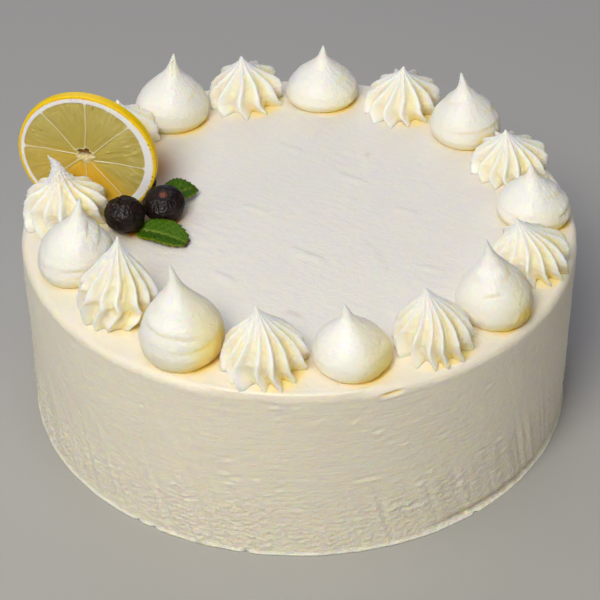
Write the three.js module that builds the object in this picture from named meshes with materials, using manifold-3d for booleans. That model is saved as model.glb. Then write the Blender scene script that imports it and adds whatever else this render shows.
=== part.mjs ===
// A whole chiffon cake under smoothed cream, with a ring of piped cream dollops round its top, a lemon
// slice pushed upright into the cream, three dark berries and two mint leaves.
// Millimetres. +Z is up, -Y is the front, and the origin is the middle of the flat underside.
import * as THREE from "three";
import { mergeVertices } from "three/addons/utils/BufferGeometryUtils.js";
import Module from "manifold-3d";

const wasm = await Module();
wasm.setup();

const { cos, sin, abs, min, max, exp, sqrt, hypot, atan2, round, PI } = Math;
const { clamp, degToRad, radToDeg, smoothstep } = THREE.MathUtils;

// ---------------------------------------------------------------- driving dimensions

const CAKE_RADIUS = 106.4;
const CAKE_HEIGHT = 76.3;
const TAPER = 0.8; // how much nearer the axis the side stands at the foot
const RIM_ROUNDING = 3; // height and width of the rounded edge of the top
const LIP = { out: 0.5, height: 0.7 }; // thin lip of cream squeezed out at the foot
const GAP = 0.3; // left between pieces that touch
const CAKE_SIDES = 96;
const SIDE_ROWS = [1.4, 2.6, 4, 8, 28, 50]; // heights of the rows of points up the side

// The scraper leaves the side a little out of round and out of true.
const SIDE_WAVE = 0.35;
// The cream stops short of the foot for a stretch at the front right.
const GROOVE = { azimuth: -43, halfSpan: 22, height: 2.6, halfWidth: 1.3, depth: 2.2 };

// Piped dollops, one every 20 degrees, counted round from the left. The star nozzle and the plain one
// take turns. "off" is how many degrees one sits past its even place, "out" its distance from the
// cake's axis, "lean" how far the tip leans along +X, and "tuck" the height share of a fold where the
// last of the cream settled over the first.
const DOLLOP_STEP = 20;
const FIRST_AZIMUTH = 180;
const DOLLOPS = [
  { ridges: 13, off: -0.5, out: 89.5, radius: 16.0, height: 28.5, lean: -3.2, twist: -8 },
  { ridges: 0, off: 1.2, out: 88.5, radius: 14.6, height: 31.0, lean: 2.9 },
  { ridges: 13, off: 1.5, out: 87.6, radius: 14.8, height: 32.5, lean: 1.5, twist: 14, tuck: 0.3 },
  { ridges: 0, off: 2.6, out: 90.0, radius: 15.1, height: 36.0, lean: -3.0, tuck: 0.4 },
  { ridges: 14, off: 1.9, out: 90.0, radius: 16.0, height: 25.0, lean: -2.5, twist: 12 },
  { ridges: 0, off: 1.6, out: 89.0, radius: 14.1, height: 24.5, lean: -2.8 },
  { ridges: 14, off: 1.0, out: 90.4, radius: 15.2, height: 24.5, lean: -3.3, twist: 16 },
  { ridges: 0, off: 0.0, out: 91.2, radius: 14.0, height: 31.5, lean: -4.7 },
  { ridges: 14, off: 0.4, out: 90.6, radius: 15.1, height: 20.6, lean: -6.4, twist: 10 },
  { ridges: 0, off: 1.5, out: 89.6, radius: 14.4, height: 23.0, lean: -2.2 },
  { ridges: 14, off: 1.9, out: 89.2, radius: 15.7, height: 18.4, lean: -2.1, twist: 8 },
  { ridges: 0, off: 1.6, out: 90.3, radius: 14.4, height: 28.5, lean: -2.9 },
  { ridges: 12, off: 2.2, out: 90.4, radius: 15.8, height: 19.7, lean: 0.6, twist: 8 },
  { ridges: 0, off: 3.9, out: 89.8, radius: 15.0, height: 24.3, lean: 0.4 },
  { ridges: 11, off: 4.7, out: 90.2, radius: 16.0, height: 20.6, lean: -0.9, twist: 8 },
  { ridges: 0, off: 5.4, out: 90.4, radius: 15.2, height: 29.7, lean: 1.7 },
  { ridges: 12, off: 3.6, out: 90.0, radius: 15.6, height: 20.5, lean: 0.0, twist: 8 },
  { ridges: 0, off: 1.5, out: 89.0, radius: 14.5, height: 26.0, lean: 0.5 },
];
// Height share up the dollop, and the share of its greatest radius there.
const PLAIN_PROFILE = [
  [0, 0.84], [0.07, 0.95], [0.16, 1], [0.3, 0.94], [0.45, 0.76],
  [0.57, 0.54], [0.68, 0.32], [0.8, 0.15], [0.91, 0.075],
];
const STAR_PROFILE = [
  [0, 0.95], [0.1, 1], [0.3, 0.93], [0.48, 0.75], [0.64, 0.5], [0.78, 0.26], [0.9, 0.1],
];
const PLAIN_SIDES = 20;
const SIDES_PER_RIDGE = 3;
const RIDGE_DEPTH = 0.24; // of the radius, between two ridges of a star dollop
const RIDGE_FADE = [0.55, 0.95]; // height shares between which the ridges run out
const TUCK = { depth: 0.1, halfHeight: 0.045 }; // a fold, as shares of the radius and the height
const LEAN_START = 0.3; // height share at which a tip begins to lean
const RIM_MARGIN = 1; // a dollop's edge stays this far inside the cake's rim

// The lemon slice: its front face looks at -Y, turned a little to -X.
const LEMON = { radius: 27.1, thickness: 3.5, x: -81.5, y: 12.6, sunk: 7, turn: -11.5 };
const PEEL = 1.2;
const PITH = 3;
const CORE_RADIUS = 2.6;
const FLESH_RECESS = 0.5; // how far the flesh lies below the pith and the membranes
const SEGMENTS = 8;
const SIDES_PER_SEGMENT = 6;

const BERRIES = [
  { x: -66.4, y: -6.4, radius: 7.8, halfHeight: 6.7, tilt: 4 },
  { x: -52.0, y: 2.0, radius: 8.2, halfHeight: 5.9, tilt: 16 },
  { x: -61.3, y: 18.2, radius: 5.5, halfHeight: 5.2, tilt: 0 },
];
const BERRY_SIDES = 18;
const BERRY_ROWS = 10;
const CROWN = { radius: 2.4, depth: 1.1 }; // the dent where the flower sat

// Mint leaves: "heading" is the way the tip points from the stalk end, in degrees from +X, "rise" the
// height of the stalk end, the middle and the tip, and "roll" lifts the leaf's left side.
const LEAVES = [
  { x: -60.8, y: -9.8, heading: -31, length: 22.5, halfWidth: 6.3, rise: [0.9, 2.4, 1.2], roll: 14 },
  { x: -52.6, y: 10.4, heading: 27, length: 15.0, halfWidth: 6.4, rise: [0.8, 2.9, 2.3], roll: 10 },
];
const LEAF_THICKNESS = 0.6;
const LEAF_STEPS = 14;
const LEAF_CROSS_STEPS = 6;
const LEAF_CUP = 0.16; // rise of a leaf's blade for each millimetre out from its midrib
const TOOTH = 0.5; // depth of the saw teeth along a leaf's edge
const BLISTER = 0.35; // height of the waves between a leaf's side veins

// ---------------------------------------------------------------- materials

const finish = (color, roughness) => new THREE.MeshStandardMaterial({ color, roughness, metalness: 0 });
const CREAM = finish(0xefe6cd, 0.55);
const PIPED_CREAM = finish(0xf6eede, 0.5);
const LEMON_FLESH = finish(0xd9b93a, 0.3);
const BERRY_SKIN = finish(0x22161c, 0.4);
const MINT = finish(0x3f7a1d, 0.5);

// ---------------------------------------------------------------- geometry helpers

// Only positions count, and vertices that lie together become one, so that the surface is closed.
function welded(geometry) {
  geometry.deleteAttribute("normal");
  geometry.deleteAttribute("uv");
  return mergeVertices(geometry, 1e-4);
}

// Moves every vertex by a function that changes the vector it is given.
function reshaped(geometry, move) {
  const place = geometry.getAttribute("position");
  const point = new THREE.Vector3();
  for (let i = 0; i < place.count; i++) {
    move(point.fromBufferAttribute(place, i));
    place.setXYZ(i, point.x, point.y, point.z);
  }
  geometry.computeVertexNormals();
  return geometry;
}

// A body turned round +Z from [radius, height] pairs that run from the foot to the top.
function turned(pairs, sides) {
  const lathe = new THREE.LatheGeometry(pairs.map(([r, z]) => new THREE.Vector2(r, z)), sides);
  return welded(lathe.rotateX(PI / 2));
}

function solidOf(geometry) {
  const { index, attributes } = geometry;
  return new wasm.Manifold(
    new wasm.Mesh({
      numProp: 3,
      vertProperties: attributes.position.array,
      triVerts: new Uint32Array(index.array),
    }),
  );
}

function geometryOf(solid) {
  const { vertProperties, triVerts } = solid.getMesh();
  const geometry = new THREE.BufferGeometry();
  geometry.setAttribute("position", new THREE.BufferAttribute(vertProperties, 3));
  geometry.setIndex(new THREE.BufferAttribute(triVerts, 1));
  geometry.computeVertexNormals();
  return geometry;
}

function piece(name, geometry, material) {
  const mesh = new THREE.Mesh(geometry, material);
  mesh.name = name;
  return mesh;
}

// ---------------------------------------------------------------- the frosted cake

const angleBetween = (a, b) => ((((a - b) % 360) + 540) % 360) - 180;

// How far the side stands back from a true circle.
function sideRecess(azimuth, height) {
  const a = degToRad(azimuth);
  const wave = sin(3 * a + 0.07 * height) + sin(5 * a - 1.3) * 0.7 + sin(0.13 * height + 2 * a) * 0.6;
  const across = abs(angleBetween(azimuth, GROOVE.azimuth)) / GROOVE.halfSpan;
  const along = (height - GROOVE.height) / GROOVE.halfWidth;
  const groove = GROOVE.depth * (1 - smoothstep(across, 0.45, 1)) * exp(-along * along);
  return (SIDE_WAVE * (1 - wave / 2.3)) / 2 + groove;
}

function cakeProfile() {
  const radiusAt = (z) => CAKE_RADIUS - TAPER * (1 - z / CAKE_HEIGHT);
  const lip = [0, LIP.height].map((z) => [radiusAt(z) + LIP.out, z]);
  const side = SIDE_ROWS.map((z) => [radiusAt(z), z]);
  const rim = [0, 30, 60, 90].map((degrees) => [
    CAKE_RADIUS - RIM_ROUNDING * (1 - cos(degToRad(degrees))),
    CAKE_HEIGHT - RIM_ROUNDING * (1 - sin(degToRad(degrees))),
  ]);
  return [[0, 0], ...lip, ...side, ...rim, [0, CAKE_HEIGHT]];
}

function cakeGeometry(slot) {
  const body = reshaped(turned(cakeProfile(), CAKE_SIDES), (p) => {
    const kept = 1 - sideRecess(radToDeg(atan2(p.y, p.x)), p.z) / CAKE_RADIUS;
    p.x *= kept;
    p.y *= kept;
  });
  return geometryOf(solidOf(body).subtract(slot));
}

// ---------------------------------------------------------------- the piped dollops

const dollopPlaces = DOLLOPS.map(({ off, out }, i) => {
  const azimuth = degToRad(FIRST_AZIMUTH + i * DOLLOP_STEP + off);
  return new THREE.Vector2(out * cos(azimuth), out * sin(azimuth));
});

// The upright planes that a dollop is pressed flat against: halfway to each neighbour, the slice where
// it stands close by, and the cake's own rim. Each is a unit normal and a reach from the dollop's axis.
function planesAround(i) {
  const count = DOLLOPS.length;
  const centre = dollopPlaces[i];
  const planes = [i + 1, i + count - 1].map((j) => {
    const away = dollopPlaces[j % count].clone().sub(centre);
    const share = DOLLOPS[i].radius / (DOLLOPS[i].radius + DOLLOPS[j % count].radius);
    const reach = away.length() * share - GAP / 2;
    return { normal: away.normalize(), reach };
  });
  const facing = new THREE.Vector2(sin(degToRad(LEMON.turn)), -cos(degToRad(LEMON.turn)));
  const ahead = centre.clone().sub(new THREE.Vector2(LEMON.x, LEMON.y)).dot(facing);
  if (ahead > 0) planes.push({ normal: facing.clone().negate(), reach: ahead - GAP });
  else planes.push({ normal: facing, reach: -ahead - LEMON.thickness - GAP });
  planes.push({ normal: centre.clone().normalize(), reach: CAKE_RADIUS - RIM_MARGIN - centre.length() });
  return planes;
}

// One row of a profile on each side of a fold, and one in it.
function withTuck(profile, tuck) {
  if (!tuck) return profile;
  const nearest = profile.reduce((best, row) => (abs(row[0] - tuck) < abs(best[0] - tuck) ? row : best));
  const at = profile.indexOf(nearest);
  const share = nearest[1];
  const fold = [
    [tuck - TUCK.halfHeight, share],
    [tuck, share - TUCK.depth],
    [tuck + TUCK.halfHeight, share],
  ];
  return [...profile.slice(0, at), ...fold, ...profile.slice(at + 1)];
}

function dollopGeometry(dollop, planes) {
  const { ridges, radius, height, lean, twist = 0, tuck } = dollop;
  const profile = withTuck(ridges ? STAR_PROFILE : PLAIN_PROFILE, tuck);
  const pairs = [[0, 0], ...profile.map(([t, share]) => [share * radius, t * height]), [0, height]];
  const sides = ridges ? ridges * SIDES_PER_RIDGE : PLAIN_SIDES;
  return reshaped(turned(pairs, sides), (p) => {
    const t = p.z / height;
    const around = atan2(p.y, p.x);
    if (ridges) {
      const crest = abs(cos((around * ridges) / 2)) ** 1.5;
      const depth = RIDGE_DEPTH * (1 - smoothstep(t, ...RIDGE_FADE));
      const kept = 1 - depth * (1 - crest);
      const turn = degToRad(twist) * t;
      const r = hypot(p.x, p.y) * kept;
      p.x = r * cos(around + turn);
      p.y = r * sin(around + turn);
    }
    p.x += lean * clamp((t - LEAN_START) / (1 - LEAN_START), 0, 1) ** 1.5;
    for (const { normal, reach } of planes) {
      const past = p.x * normal.x + p.y * normal.y - reach;
      if (past > 0) {
        p.x -= normal.x * past;
        p.y -= normal.y * past;
      }
    }
  });
}

// ---------------------------------------------------------------- the lemon slice

const FLESH_RADIUS = LEMON.radius - PEEL - PITH;

// The slice lies in its own XY plane, its front face up, from z = 0 to its thickness.
function sliceGeometry() {
  const { radius, thickness } = LEMON;
  const face = [
    [radius - PEEL / 2, 0],
    [FLESH_RADIUS + 0.4, 0],
    [FLESH_RADIUS - 0.6, FLESH_RECESS],
    [CORE_RADIUS, FLESH_RECESS],
    [CORE_RADIUS / 2, 0],
    [0, 0],
  ];
  const back = [...face].reverse();
  const front = face.map(([r, recess]) => [r, thickness - recess]);
  const pairs = [...back, [radius, PEEL / 2], [radius, thickness - PEEL / 2], ...front];
  const sides = SEGMENTS * SIDES_PER_SEGMENT;
  return reshaped(turned(pairs, sides), (p) => {
    const r = hypot(p.x, p.y);
    const side = round((atan2(p.y, p.x) / (2 * PI)) * sides);
    const onMembrane = side % SIDES_PER_SEGMENT === 0 && r > CORE_RADIUS / 2 && r < FLESH_RADIUS;
    if (onMembrane) p.z = p.z > thickness / 2 ? thickness - 0.1 : 0.1;
  });
}

function slotSolid(place) {
  const wide = new THREE.CylinderGeometry(
    LEMON.radius + GAP, LEMON.radius + GAP, LEMON.thickness + 2 * GAP, SEGMENTS * SIDES_PER_SEGMENT,
  );
  const upright = wide.rotateX(PI / 2).translate(0, 0, LEMON.thickness / 2);
  return solidOf(welded(upright.applyMatrix4(place)));
}

// ---------------------------------------------------------------- berries and mint

function berryGeometry({ radius, halfHeight, tilt }) {
  const pairs = [];
  for (let row = 0; row <= BERRY_ROWS; row++) {
    const latitude = PI * (row / BERRY_ROWS - 0.5);
    const r = row % BERRY_ROWS === 0 ? 0 : radius * cos(latitude);
    pairs.push([r, halfHeight * sin(latitude)]);
  }
  const upright = reshaped(turned(pairs, BERRY_SIDES), (p) => {
    if (p.z > 0) p.z -= CROWN.depth * exp(-((hypot(p.x, p.y) / CROWN.radius) ** 2));
  });
  return upright.rotateX(degToRad(tilt));
}

// A thin box bent into a leaf: x runs from the stalk end to the tip, y from edge to edge.
function leafGeometry({ length, halfWidth, rise, roll }) {
  const flat = welded(new THREE.BoxGeometry(1, 2, LEAF_THICKNESS, LEAF_STEPS, LEAF_CROSS_STEPS, 1));
  const middle = new THREE.QuadraticBezierCurve(
    new THREE.Vector2(0, rise[0]),
    new THREE.Vector2(length / 2, 2 * rise[1] - (rise[0] + rise[2]) / 2),
    new THREE.Vector2(length, rise[2]),
  );
  return reshaped(flat, (p) => {
    const u = p.x + 0.5;
    const v = p.y;
    const step = round(u * LEAF_STEPS);
    const outline = max(0.07, sqrt(sin(PI * min(1, u ** 0.8 * 0.97 + 0.015))));
    const tooth = step % 2 ? TOOTH * abs(v) ** 6 : 0;
    const across = v * (halfWidth * outline - tooth);
    const spine = middle.getPoint(u);
    const tilt = degToRad(roll);
    const blister = BLISTER * sin(3 * PI * abs(v)) * (step % 2 ? 1 : -1) * outline;
    p.z += spine.y + across * sin(tilt) + abs(across) * LEAF_CUP + blister;
    p.x = spine.x;
    p.y = across * cos(tilt);
  });
}

// ---------------------------------------------------------------- the whole cake

const cake = new THREE.Group();

// Everything on the cake stands in this group, whose floor is the top of the cream.
const top = new THREE.Group();
top.position.z = CAKE_HEIGHT + GAP;
cake.add(top);

const slicePlace = new THREE.Group();
slicePlace.position.set(LEMON.x, LEMON.y, LEMON.radius - LEMON.sunk - GAP);
slicePlace.rotation.set(PI / 2, 0, degToRad(LEMON.turn), "ZYX");
const slice = piece("lemon_slice", sliceGeometry(), LEMON_FLESH);
slice.position.z = -LEMON.thickness; // the front face passes through the group's origin
slicePlace.add(slice);
top.add(slicePlace);
top.updateMatrixWorld(true);

cake.add(piece("frosted_cake", cakeGeometry(slotSolid(slice.matrixWorld)), CREAM));

let stars = 0;
let plains = 0;
DOLLOPS.forEach((dollop, i) => {
  const name = dollop.ridges ? `star_dollop_${++stars}` : `plain_dollop_${++plains}`;
  const mesh = piece(name, dollopGeometry(dollop, planesAround(i)), PIPED_CREAM);
  mesh.position.set(dollopPlaces[i].x, dollopPlaces[i].y, 0);
  top.add(mesh);
});

BERRIES.forEach((berry, i) => {
  const mesh = piece(`berry_${i + 1}`, berryGeometry(berry), BERRY_SKIN);
  mesh.position.set(berry.x, berry.y, berry.halfHeight);
  top.add(mesh);
});

LEAVES.forEach((leaf, i) => {
  const mesh = piece(`mint_leaf_${i + 1}`, leafGeometry(leaf), MINT);
  mesh.position.set(leaf.x, leaf.y, 0);
  mesh.rotation.z = degToRad(leaf.heading);
  top.add(mesh);
});

export default cake;
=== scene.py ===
"""A whole chiffon cake under smoothed cream, dressed with piped dollops, a lemon slice, berries and mint.

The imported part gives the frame: metres, +Z up, -Y the front and +X to the right, with the origin at the
middle of the underside. Shapes are worked out in millimetres and turned to metres as a mesh is made.
"""

import math

import bpy
import numpy as np
from bpy.props import FloatProperty, FloatVectorProperty, PointerProperty
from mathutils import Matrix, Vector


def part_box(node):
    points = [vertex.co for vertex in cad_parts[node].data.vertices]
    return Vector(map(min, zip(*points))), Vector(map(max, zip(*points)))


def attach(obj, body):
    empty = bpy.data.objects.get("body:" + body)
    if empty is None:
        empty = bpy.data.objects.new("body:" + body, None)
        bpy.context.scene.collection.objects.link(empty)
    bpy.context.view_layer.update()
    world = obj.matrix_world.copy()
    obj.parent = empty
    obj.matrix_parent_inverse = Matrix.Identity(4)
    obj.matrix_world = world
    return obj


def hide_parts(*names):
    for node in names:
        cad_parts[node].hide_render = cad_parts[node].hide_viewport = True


bl_info = {
    "name": "Chiffon cake",
    "version": (1, 0, 0),
    "blender": (4, 5, 0),
    "location": "View3D > Sidebar > Cake",
    "description": "Dresses a chiffon cake in cream, piped dollops, lemon, berries and mint",
    "category": "Add Mesh",
}

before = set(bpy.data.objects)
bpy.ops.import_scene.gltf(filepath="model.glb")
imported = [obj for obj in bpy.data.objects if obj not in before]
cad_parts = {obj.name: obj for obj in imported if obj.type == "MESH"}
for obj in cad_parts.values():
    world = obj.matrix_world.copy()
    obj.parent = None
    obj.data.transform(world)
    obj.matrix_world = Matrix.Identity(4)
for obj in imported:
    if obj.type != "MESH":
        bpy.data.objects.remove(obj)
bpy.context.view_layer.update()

MM = 0.001


# ------------------------------------------------------------------ sizes that pieces share, in mm

CAKE_RADIUS = 106.4
CAKE_TAPER = 0.8  # how much nearer the axis the side stands at the foot
GAP = 0.3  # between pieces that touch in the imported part
RIM_MARGIN = 1.0  # a dollop's edge stays this far inside the cake's rim

# Piped dollops, one every 20 degrees, counted round from the left. "off" is how many degrees one sits
# past its even place, "out" its distance from the cake's axis, "lean" and "curl" how far its body and its
# tip lean along +X, "twist" and "kick" how many degrees its ridges turn on the way up and at the foot,
# "tiers" whether it was piped in two turns, "ragged" whether its skin is torn, "warmth" how strongly its
# lower right is painted with the glow of light come through it, and "frill" how far its ridges fan out at
# the back.
DOLLOP_STEP = 20
FIRST_AZIMUTH = 180
DOLLOPS = [
    dict(ridges=13, off=-0.5, out=89.5, radius=16, height=28.5, lean=-3.2, twist=-8, ragged=1, curl=-1.8),
    dict(ridges=0, off=1.2, out=88.5, radius=14.6, height=31.0, lean=2.9),
    dict(ridges=13, off=1.5, out=87.6, radius=14.8, height=32.5, lean=1.5, twist=10, kick=0, tiers=1),
    dict(ridges=0, off=2.6, out=90.0, radius=15.1, height=36.0, lean=-3.0, warmth=1.1),
    dict(ridges=14, off=1.9, out=90.0, radius=16.0, height=25.0, lean=-2.5, twist=12),
    dict(ridges=0, off=1.6, out=89.0, radius=14.1, height=24.5, lean=-2.8, warmth=1.1),
    dict(ridges=14, off=1.0, out=90.4, radius=15.2, height=24.5, lean=-3.3, twist=16),
    dict(ridges=0, off=0.0, out=91.2, radius=14.0, height=31.5, lean=-4.7, warmth=0.9),
    dict(ridges=14, off=0.4, out=90.6, radius=15.1, height=20.6, lean=-6.4, twist=10, frill=0.9),
    dict(ridges=0, off=1.5, out=89.6, radius=14.4, height=23.0, lean=-2.2),
    dict(ridges=14, off=1.9, out=89.2, radius=15.7, height=18.4, lean=-2.1, twist=8, frill=0.9),
    dict(ridges=0, off=1.6, out=90.3, radius=14.4, height=28.5, lean=-2.9),
    dict(ridges=12, off=2.2, out=90.4, radius=15.8, height=19.7, lean=0.6, twist=8, frill=1.0),
    dict(ridges=0, off=3.9, out=89.8, radius=15.0, height=24.3, lean=0.4),
    dict(ridges=11, off=4.7, out=90.2, radius=16.0, height=20.6, lean=-0.9, twist=8, frill=1.0),
    dict(ridges=0, off=5.4, out=90.4, radius=15.2, height=29.7, lean=1.7),
    dict(ridges=12, off=3.6, out=90.0, radius=15.6, height=20.5, lean=0.0, twist=8, frill=0.8),
    dict(ridges=0, off=1.5, out=89.0, radius=14.5, height=26.0, lean=0.5),
]

# The lemon slice: its front face looks at -Y, turned by "turn" degrees.
LEMON = dict(radius=27.1, thickness=3.5, x=-81.5, y=12.6, turn=-11.5)

BERRIES = [
    dict(x=-66.4, y=-6.4, radius=7.8, half_height=6.7, tilt=4),
    dict(x=-52.0, y=2.0, radius=8.2, half_height=5.9, tilt=16),
    dict(x=-61.3, y=18.2, radius=5.5, half_height=5.2, tilt=0),
]
LEAVES = [
    dict(x=-61.4, y=-8.5, heading=-27, length=21.6, half_width=6.3, rise=(0.9, 2.4, 1.2), roll=14),
    dict(x=-53.6, y=10.6, heading=27, length=15.0, half_width=6.4, rise=(0.8, 2.9, 2.3), roll=10),
]


# ------------------------------------------------------------------ colour, curves and noise


def linear(code):
    """An sRGB colour such as "F6EEDE" as three linear values."""
    parts = [int(code[i : i + 2], 16) / 255 for i in (0, 2, 4)]
    return tuple(p / 12.92 if p <= 0.04045 else ((p + 0.055) / 1.055) ** 2.4 for p in parts)


def smoothstep(x, low, high):
    """0 below low, 1 above high, and a smooth rise between them."""
    t = np.clip((x - low) / (high - low), 0, 1)
    return t * t * (3 - 2 * t)


def curve_through(pairs, x):
    """A smooth curve through (x, y) pairs that never overshoots them."""
    px, py = np.array(pairs, float).T
    step = np.diff(px)
    slope = np.diff(py) / step
    tangent = np.zeros(len(px))
    tangent[0], tangent[-1] = slope[0], slope[-1]
    same_way = slope[:-1] * slope[1:] > 0
    weight_a = 2 * step[1:] + step[:-1]
    weight_b = step[1:] + 2 * step[:-1]
    with np.errstate(divide="ignore", invalid="ignore"):
        mean = (weight_a + weight_b) / (weight_a / slope[:-1] + weight_b / slope[1:])
    tangent[1:-1] = np.where(same_way, mean, 0)
    i = np.clip(np.searchsorted(px, x, side="right") - 1, 0, len(step) - 1)
    t = np.clip((x - px[i]) / step[i], 0, 1)
    from_a = (1 + 2 * t) * (1 - t) ** 2 * py[i] + t * (1 - t) ** 2 * step[i] * tangent[i]
    from_b = t * t * (3 - 2 * t) * py[i + 1] + t * t * (t - 1) * step[i] * tangent[i + 1]
    return from_a + from_b


def noise(x, y, period, seed):
    """Smooth random values from about -1 to 1, one bump to a unit, repeating after period units of x."""
    x, y = np.broadcast_arrays(np.asarray(x, float), np.asarray(y, float))
    column = np.floor(x).astype(int)
    row = np.floor(y).astype(int)
    u, v = x - column, y - row
    row = row - row.min()
    angle = np.random.default_rng(seed).uniform(0, 2 * np.pi, (row.max() + 2, period))

    def corner(du, dv):
        a = angle[row + dv, (column + du) % period]
        return np.cos(a) * (u - du) + np.sin(a) * (v - dv)

    fade_u, fade_v = (w * w * w * (w * (6 * w - 15) + 10) for w in (u, v))
    near = corner(0, 0) + (corner(1, 0) - corner(0, 0)) * fade_u
    far = corner(0, 1) + (corner(1, 1) - corner(0, 1)) * fade_u
    return 1.5 * (near + (far - near) * fade_v)


UNREPEATED = 4096  # a period that no small piece is wide enough to reach


def layered(x, y, period, seed):
    """Noise with finer and fainter noise on it, each layer at twice the scale of the one before."""
    total = 0
    for layer in range(3):
        scale = 2**layer
        total = total + noise(x * scale, y * scale, period * scale, seed + layer) / scale
    return total


def bell(x):
    """1 at 0, falling smoothly to nothing by about 2."""
    return np.exp(-(x**2))


def plateau(x):
    """Like a bell, with a flat top and steeper sides."""
    return np.exp(-(x**4))


def degrees_of(x, y):
    """The azimuth of a point, in degrees from +X."""
    return np.degrees(np.arctan2(y, x))


def degrees_between(a, b):
    """The signed way from angle b to angle a, in degrees from -180 to 180."""
    return (a - b + 180) % 360 - 180


def distance_to_path(x, y, path):
    """Distance in mm from points to a path of straight stretches, and the share of the path passed."""
    nearest = np.full(x.shape, 99.0)
    share = np.zeros(x.shape)
    for k, ((ax, ay), (bx, by)) in enumerate(zip(path, path[1:])):
        dx, dy = bx - ax, by - ay
        t = np.clip(((x - ax) * dx + (y - ay) * dy) / (dx * dx + dy * dy), 0, 1)
        gap = np.hypot(x - ax - t * dx, y - ay - t * dy)
        share = np.where(gap < nearest, (k + t) / (len(path) - 1), share)
        nearest = np.minimum(nearest, gap)
    return nearest, share


# ------------------------------------------------------------------ meshes


def full_turn(count):
    """Angles laid evenly round a circle, as one row."""
    return np.linspace(0, 2 * np.pi, count, endpoint=False)[None, :]


def points(x, y, z):
    """Points from three coordinates, each spread over the shape of the others."""
    return np.stack(np.broadcast_arrays(x, y, z), axis=-1)


def new_piece(name, vertices, faces, material, paint):
    """A smooth mesh from points in mm and faces, with a float attribute for each entry of paint."""
    mesh = bpy.data.meshes.new(name)
    mesh.from_pydata((np.asarray(vertices) * MM).tolist(), [], faces)
    for key, values in paint.items():
        attribute = mesh.attributes.new(key, "FLOAT", "POINT")
        attribute.data.foreach_set("value", np.asarray(values, np.float32).ravel())
    mesh.shade_smooth()
    mesh.materials.append(material)
    mesh.update()
    piece = bpy.data.objects.new(name, mesh)
    bpy.context.scene.collection.objects.link(piece)
    return piece


def ring_faces(rows, columns):
    """Quads between rows of points that each run once round, all facing outward for rising rows."""
    index = np.arange(rows * columns).reshape(rows, columns)
    turned = np.roll(index, -1, axis=1)
    quads = np.stack([index[:-1], turned[:-1], turned[1:], index[1:]], axis=-1)
    return quads.reshape(-1, 4).tolist()


def closed_rings(rings):
    """Vertices and faces of a body from rows of points round it, with a fan over each end."""
    rows, columns = rings.shape[:2]
    ends = np.array([rings[0].mean(0), rings[-1].mean(0)])
    vertices = np.concatenate([rings.reshape(-1, 3), ends])
    faces = ring_faces(rows, columns)
    low, high = rows * columns, rows * columns + 1
    for k in range(columns):
        after = (k + 1) % columns
        faces.append([after, k, low])
        faces.append([(rows - 1) * columns + k, (rows - 1) * columns + after, high])
    return vertices, faces


def ring_piece(name, rings, material, **paint):
    """A closed piece from rows of points round it. Each paint is spread over all of them."""
    vertices, faces = closed_rings(rings)
    full = {}
    for key, value in paint.items():
        spread = np.broadcast_to(value, rings.shape[:2])
        full[key] = np.append(spread, [spread[0].mean(), spread[-1].mean()])
    return new_piece(name, vertices, faces, material, full)


def place(piece, node):
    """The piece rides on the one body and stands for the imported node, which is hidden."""
    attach(piece, "root")
    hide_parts(node)


# ------------------------------------------------------------------ materials


def add(tree, kind, inputs=None, **settings):
    """Adds a node. inputs gives each socket a value or another node's output, settings are its own."""
    made = tree.nodes.new(kind)
    for key, value in settings.items():
        setattr(made, key, value)
    for key, value in (inputs or {}).items():
        if isinstance(value, bpy.types.NodeSocket):
            tree.links.new(value, made.inputs[key])
        else:
            made.inputs[key].default_value = value
    return made


def new_material(name, constants):
    """A material, its node tree and its Principled shader, which has these constants and is linked."""
    material = bpy.data.materials.new(name)
    material.use_nodes = True
    tree = material.node_tree
    tree.nodes.clear()
    shader = add(tree, "ShaderNodeBsdfPrincipled", constants)
    add(tree, "ShaderNodeOutputMaterial", {"Surface": shader.outputs["BSDF"]})
    return material, tree, shader


def laid_over(tree, colour, coats):
    """A colour under a row of coats, each what shows it (a socket or a paint's name) and its own colour."""
    for mask, coat in coats:
        if isinstance(mask, str):
            mask = add(tree, "ShaderNodeAttribute", attribute_name=mask).outputs["Fac"]
        under, over = (c if isinstance(c, bpy.types.NodeSocket) else (*c, 1) for c in (colour, coat))
        colour = add(tree, "ShaderNodeMix", {0: mask, 6: under, 7: over}, data_type="RGBA").outputs[2]
    return colour


# ------------------------------------------------------------------ settings


def length_prop(name, description, default):
    """A property for a length, in metres."""
    return FloatProperty(
        name=name, description=description, default=default, subtype="DISTANCE", unit="LENGTH"
    )


def colour_prop(name, description, code):
    """A property for a colour, with its default as an sRGB code."""
    return FloatVectorProperty(
        name=name, description=description, default=linear(code), min=0, max=1, subtype="COLOR"
    )


class CAKE_PG_stage(bpy.types.PropertyGroup):
    """Size and colours of the floor and the lights."""

    floor_half: length_prop("Floor half", "Half the width of the square floor", 4.0)
    floor: colour_prop("Floor", "Colour of the floor", "ABA9A5")
    room: colour_prop("Room", "Colour of the faint light from all sides", "F0E4C8")
    key: colour_prop("Key light", "Colour of the main light, from the front left", "FFFEF6")
    window: colour_prop("Window light", "Colour of the wide cool light from behind", "D2DAFF")
    overhead: colour_prop("Overhead light", "Colour of the light from above", "ECF0FF")
    left_fill: colour_prop("Left fill", "Colour of the weak light from the left", "FFFAF4")
    right_fill: colour_prop("Right fill", "Colour of the weak light from the front right", "FFF8F0")


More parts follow.
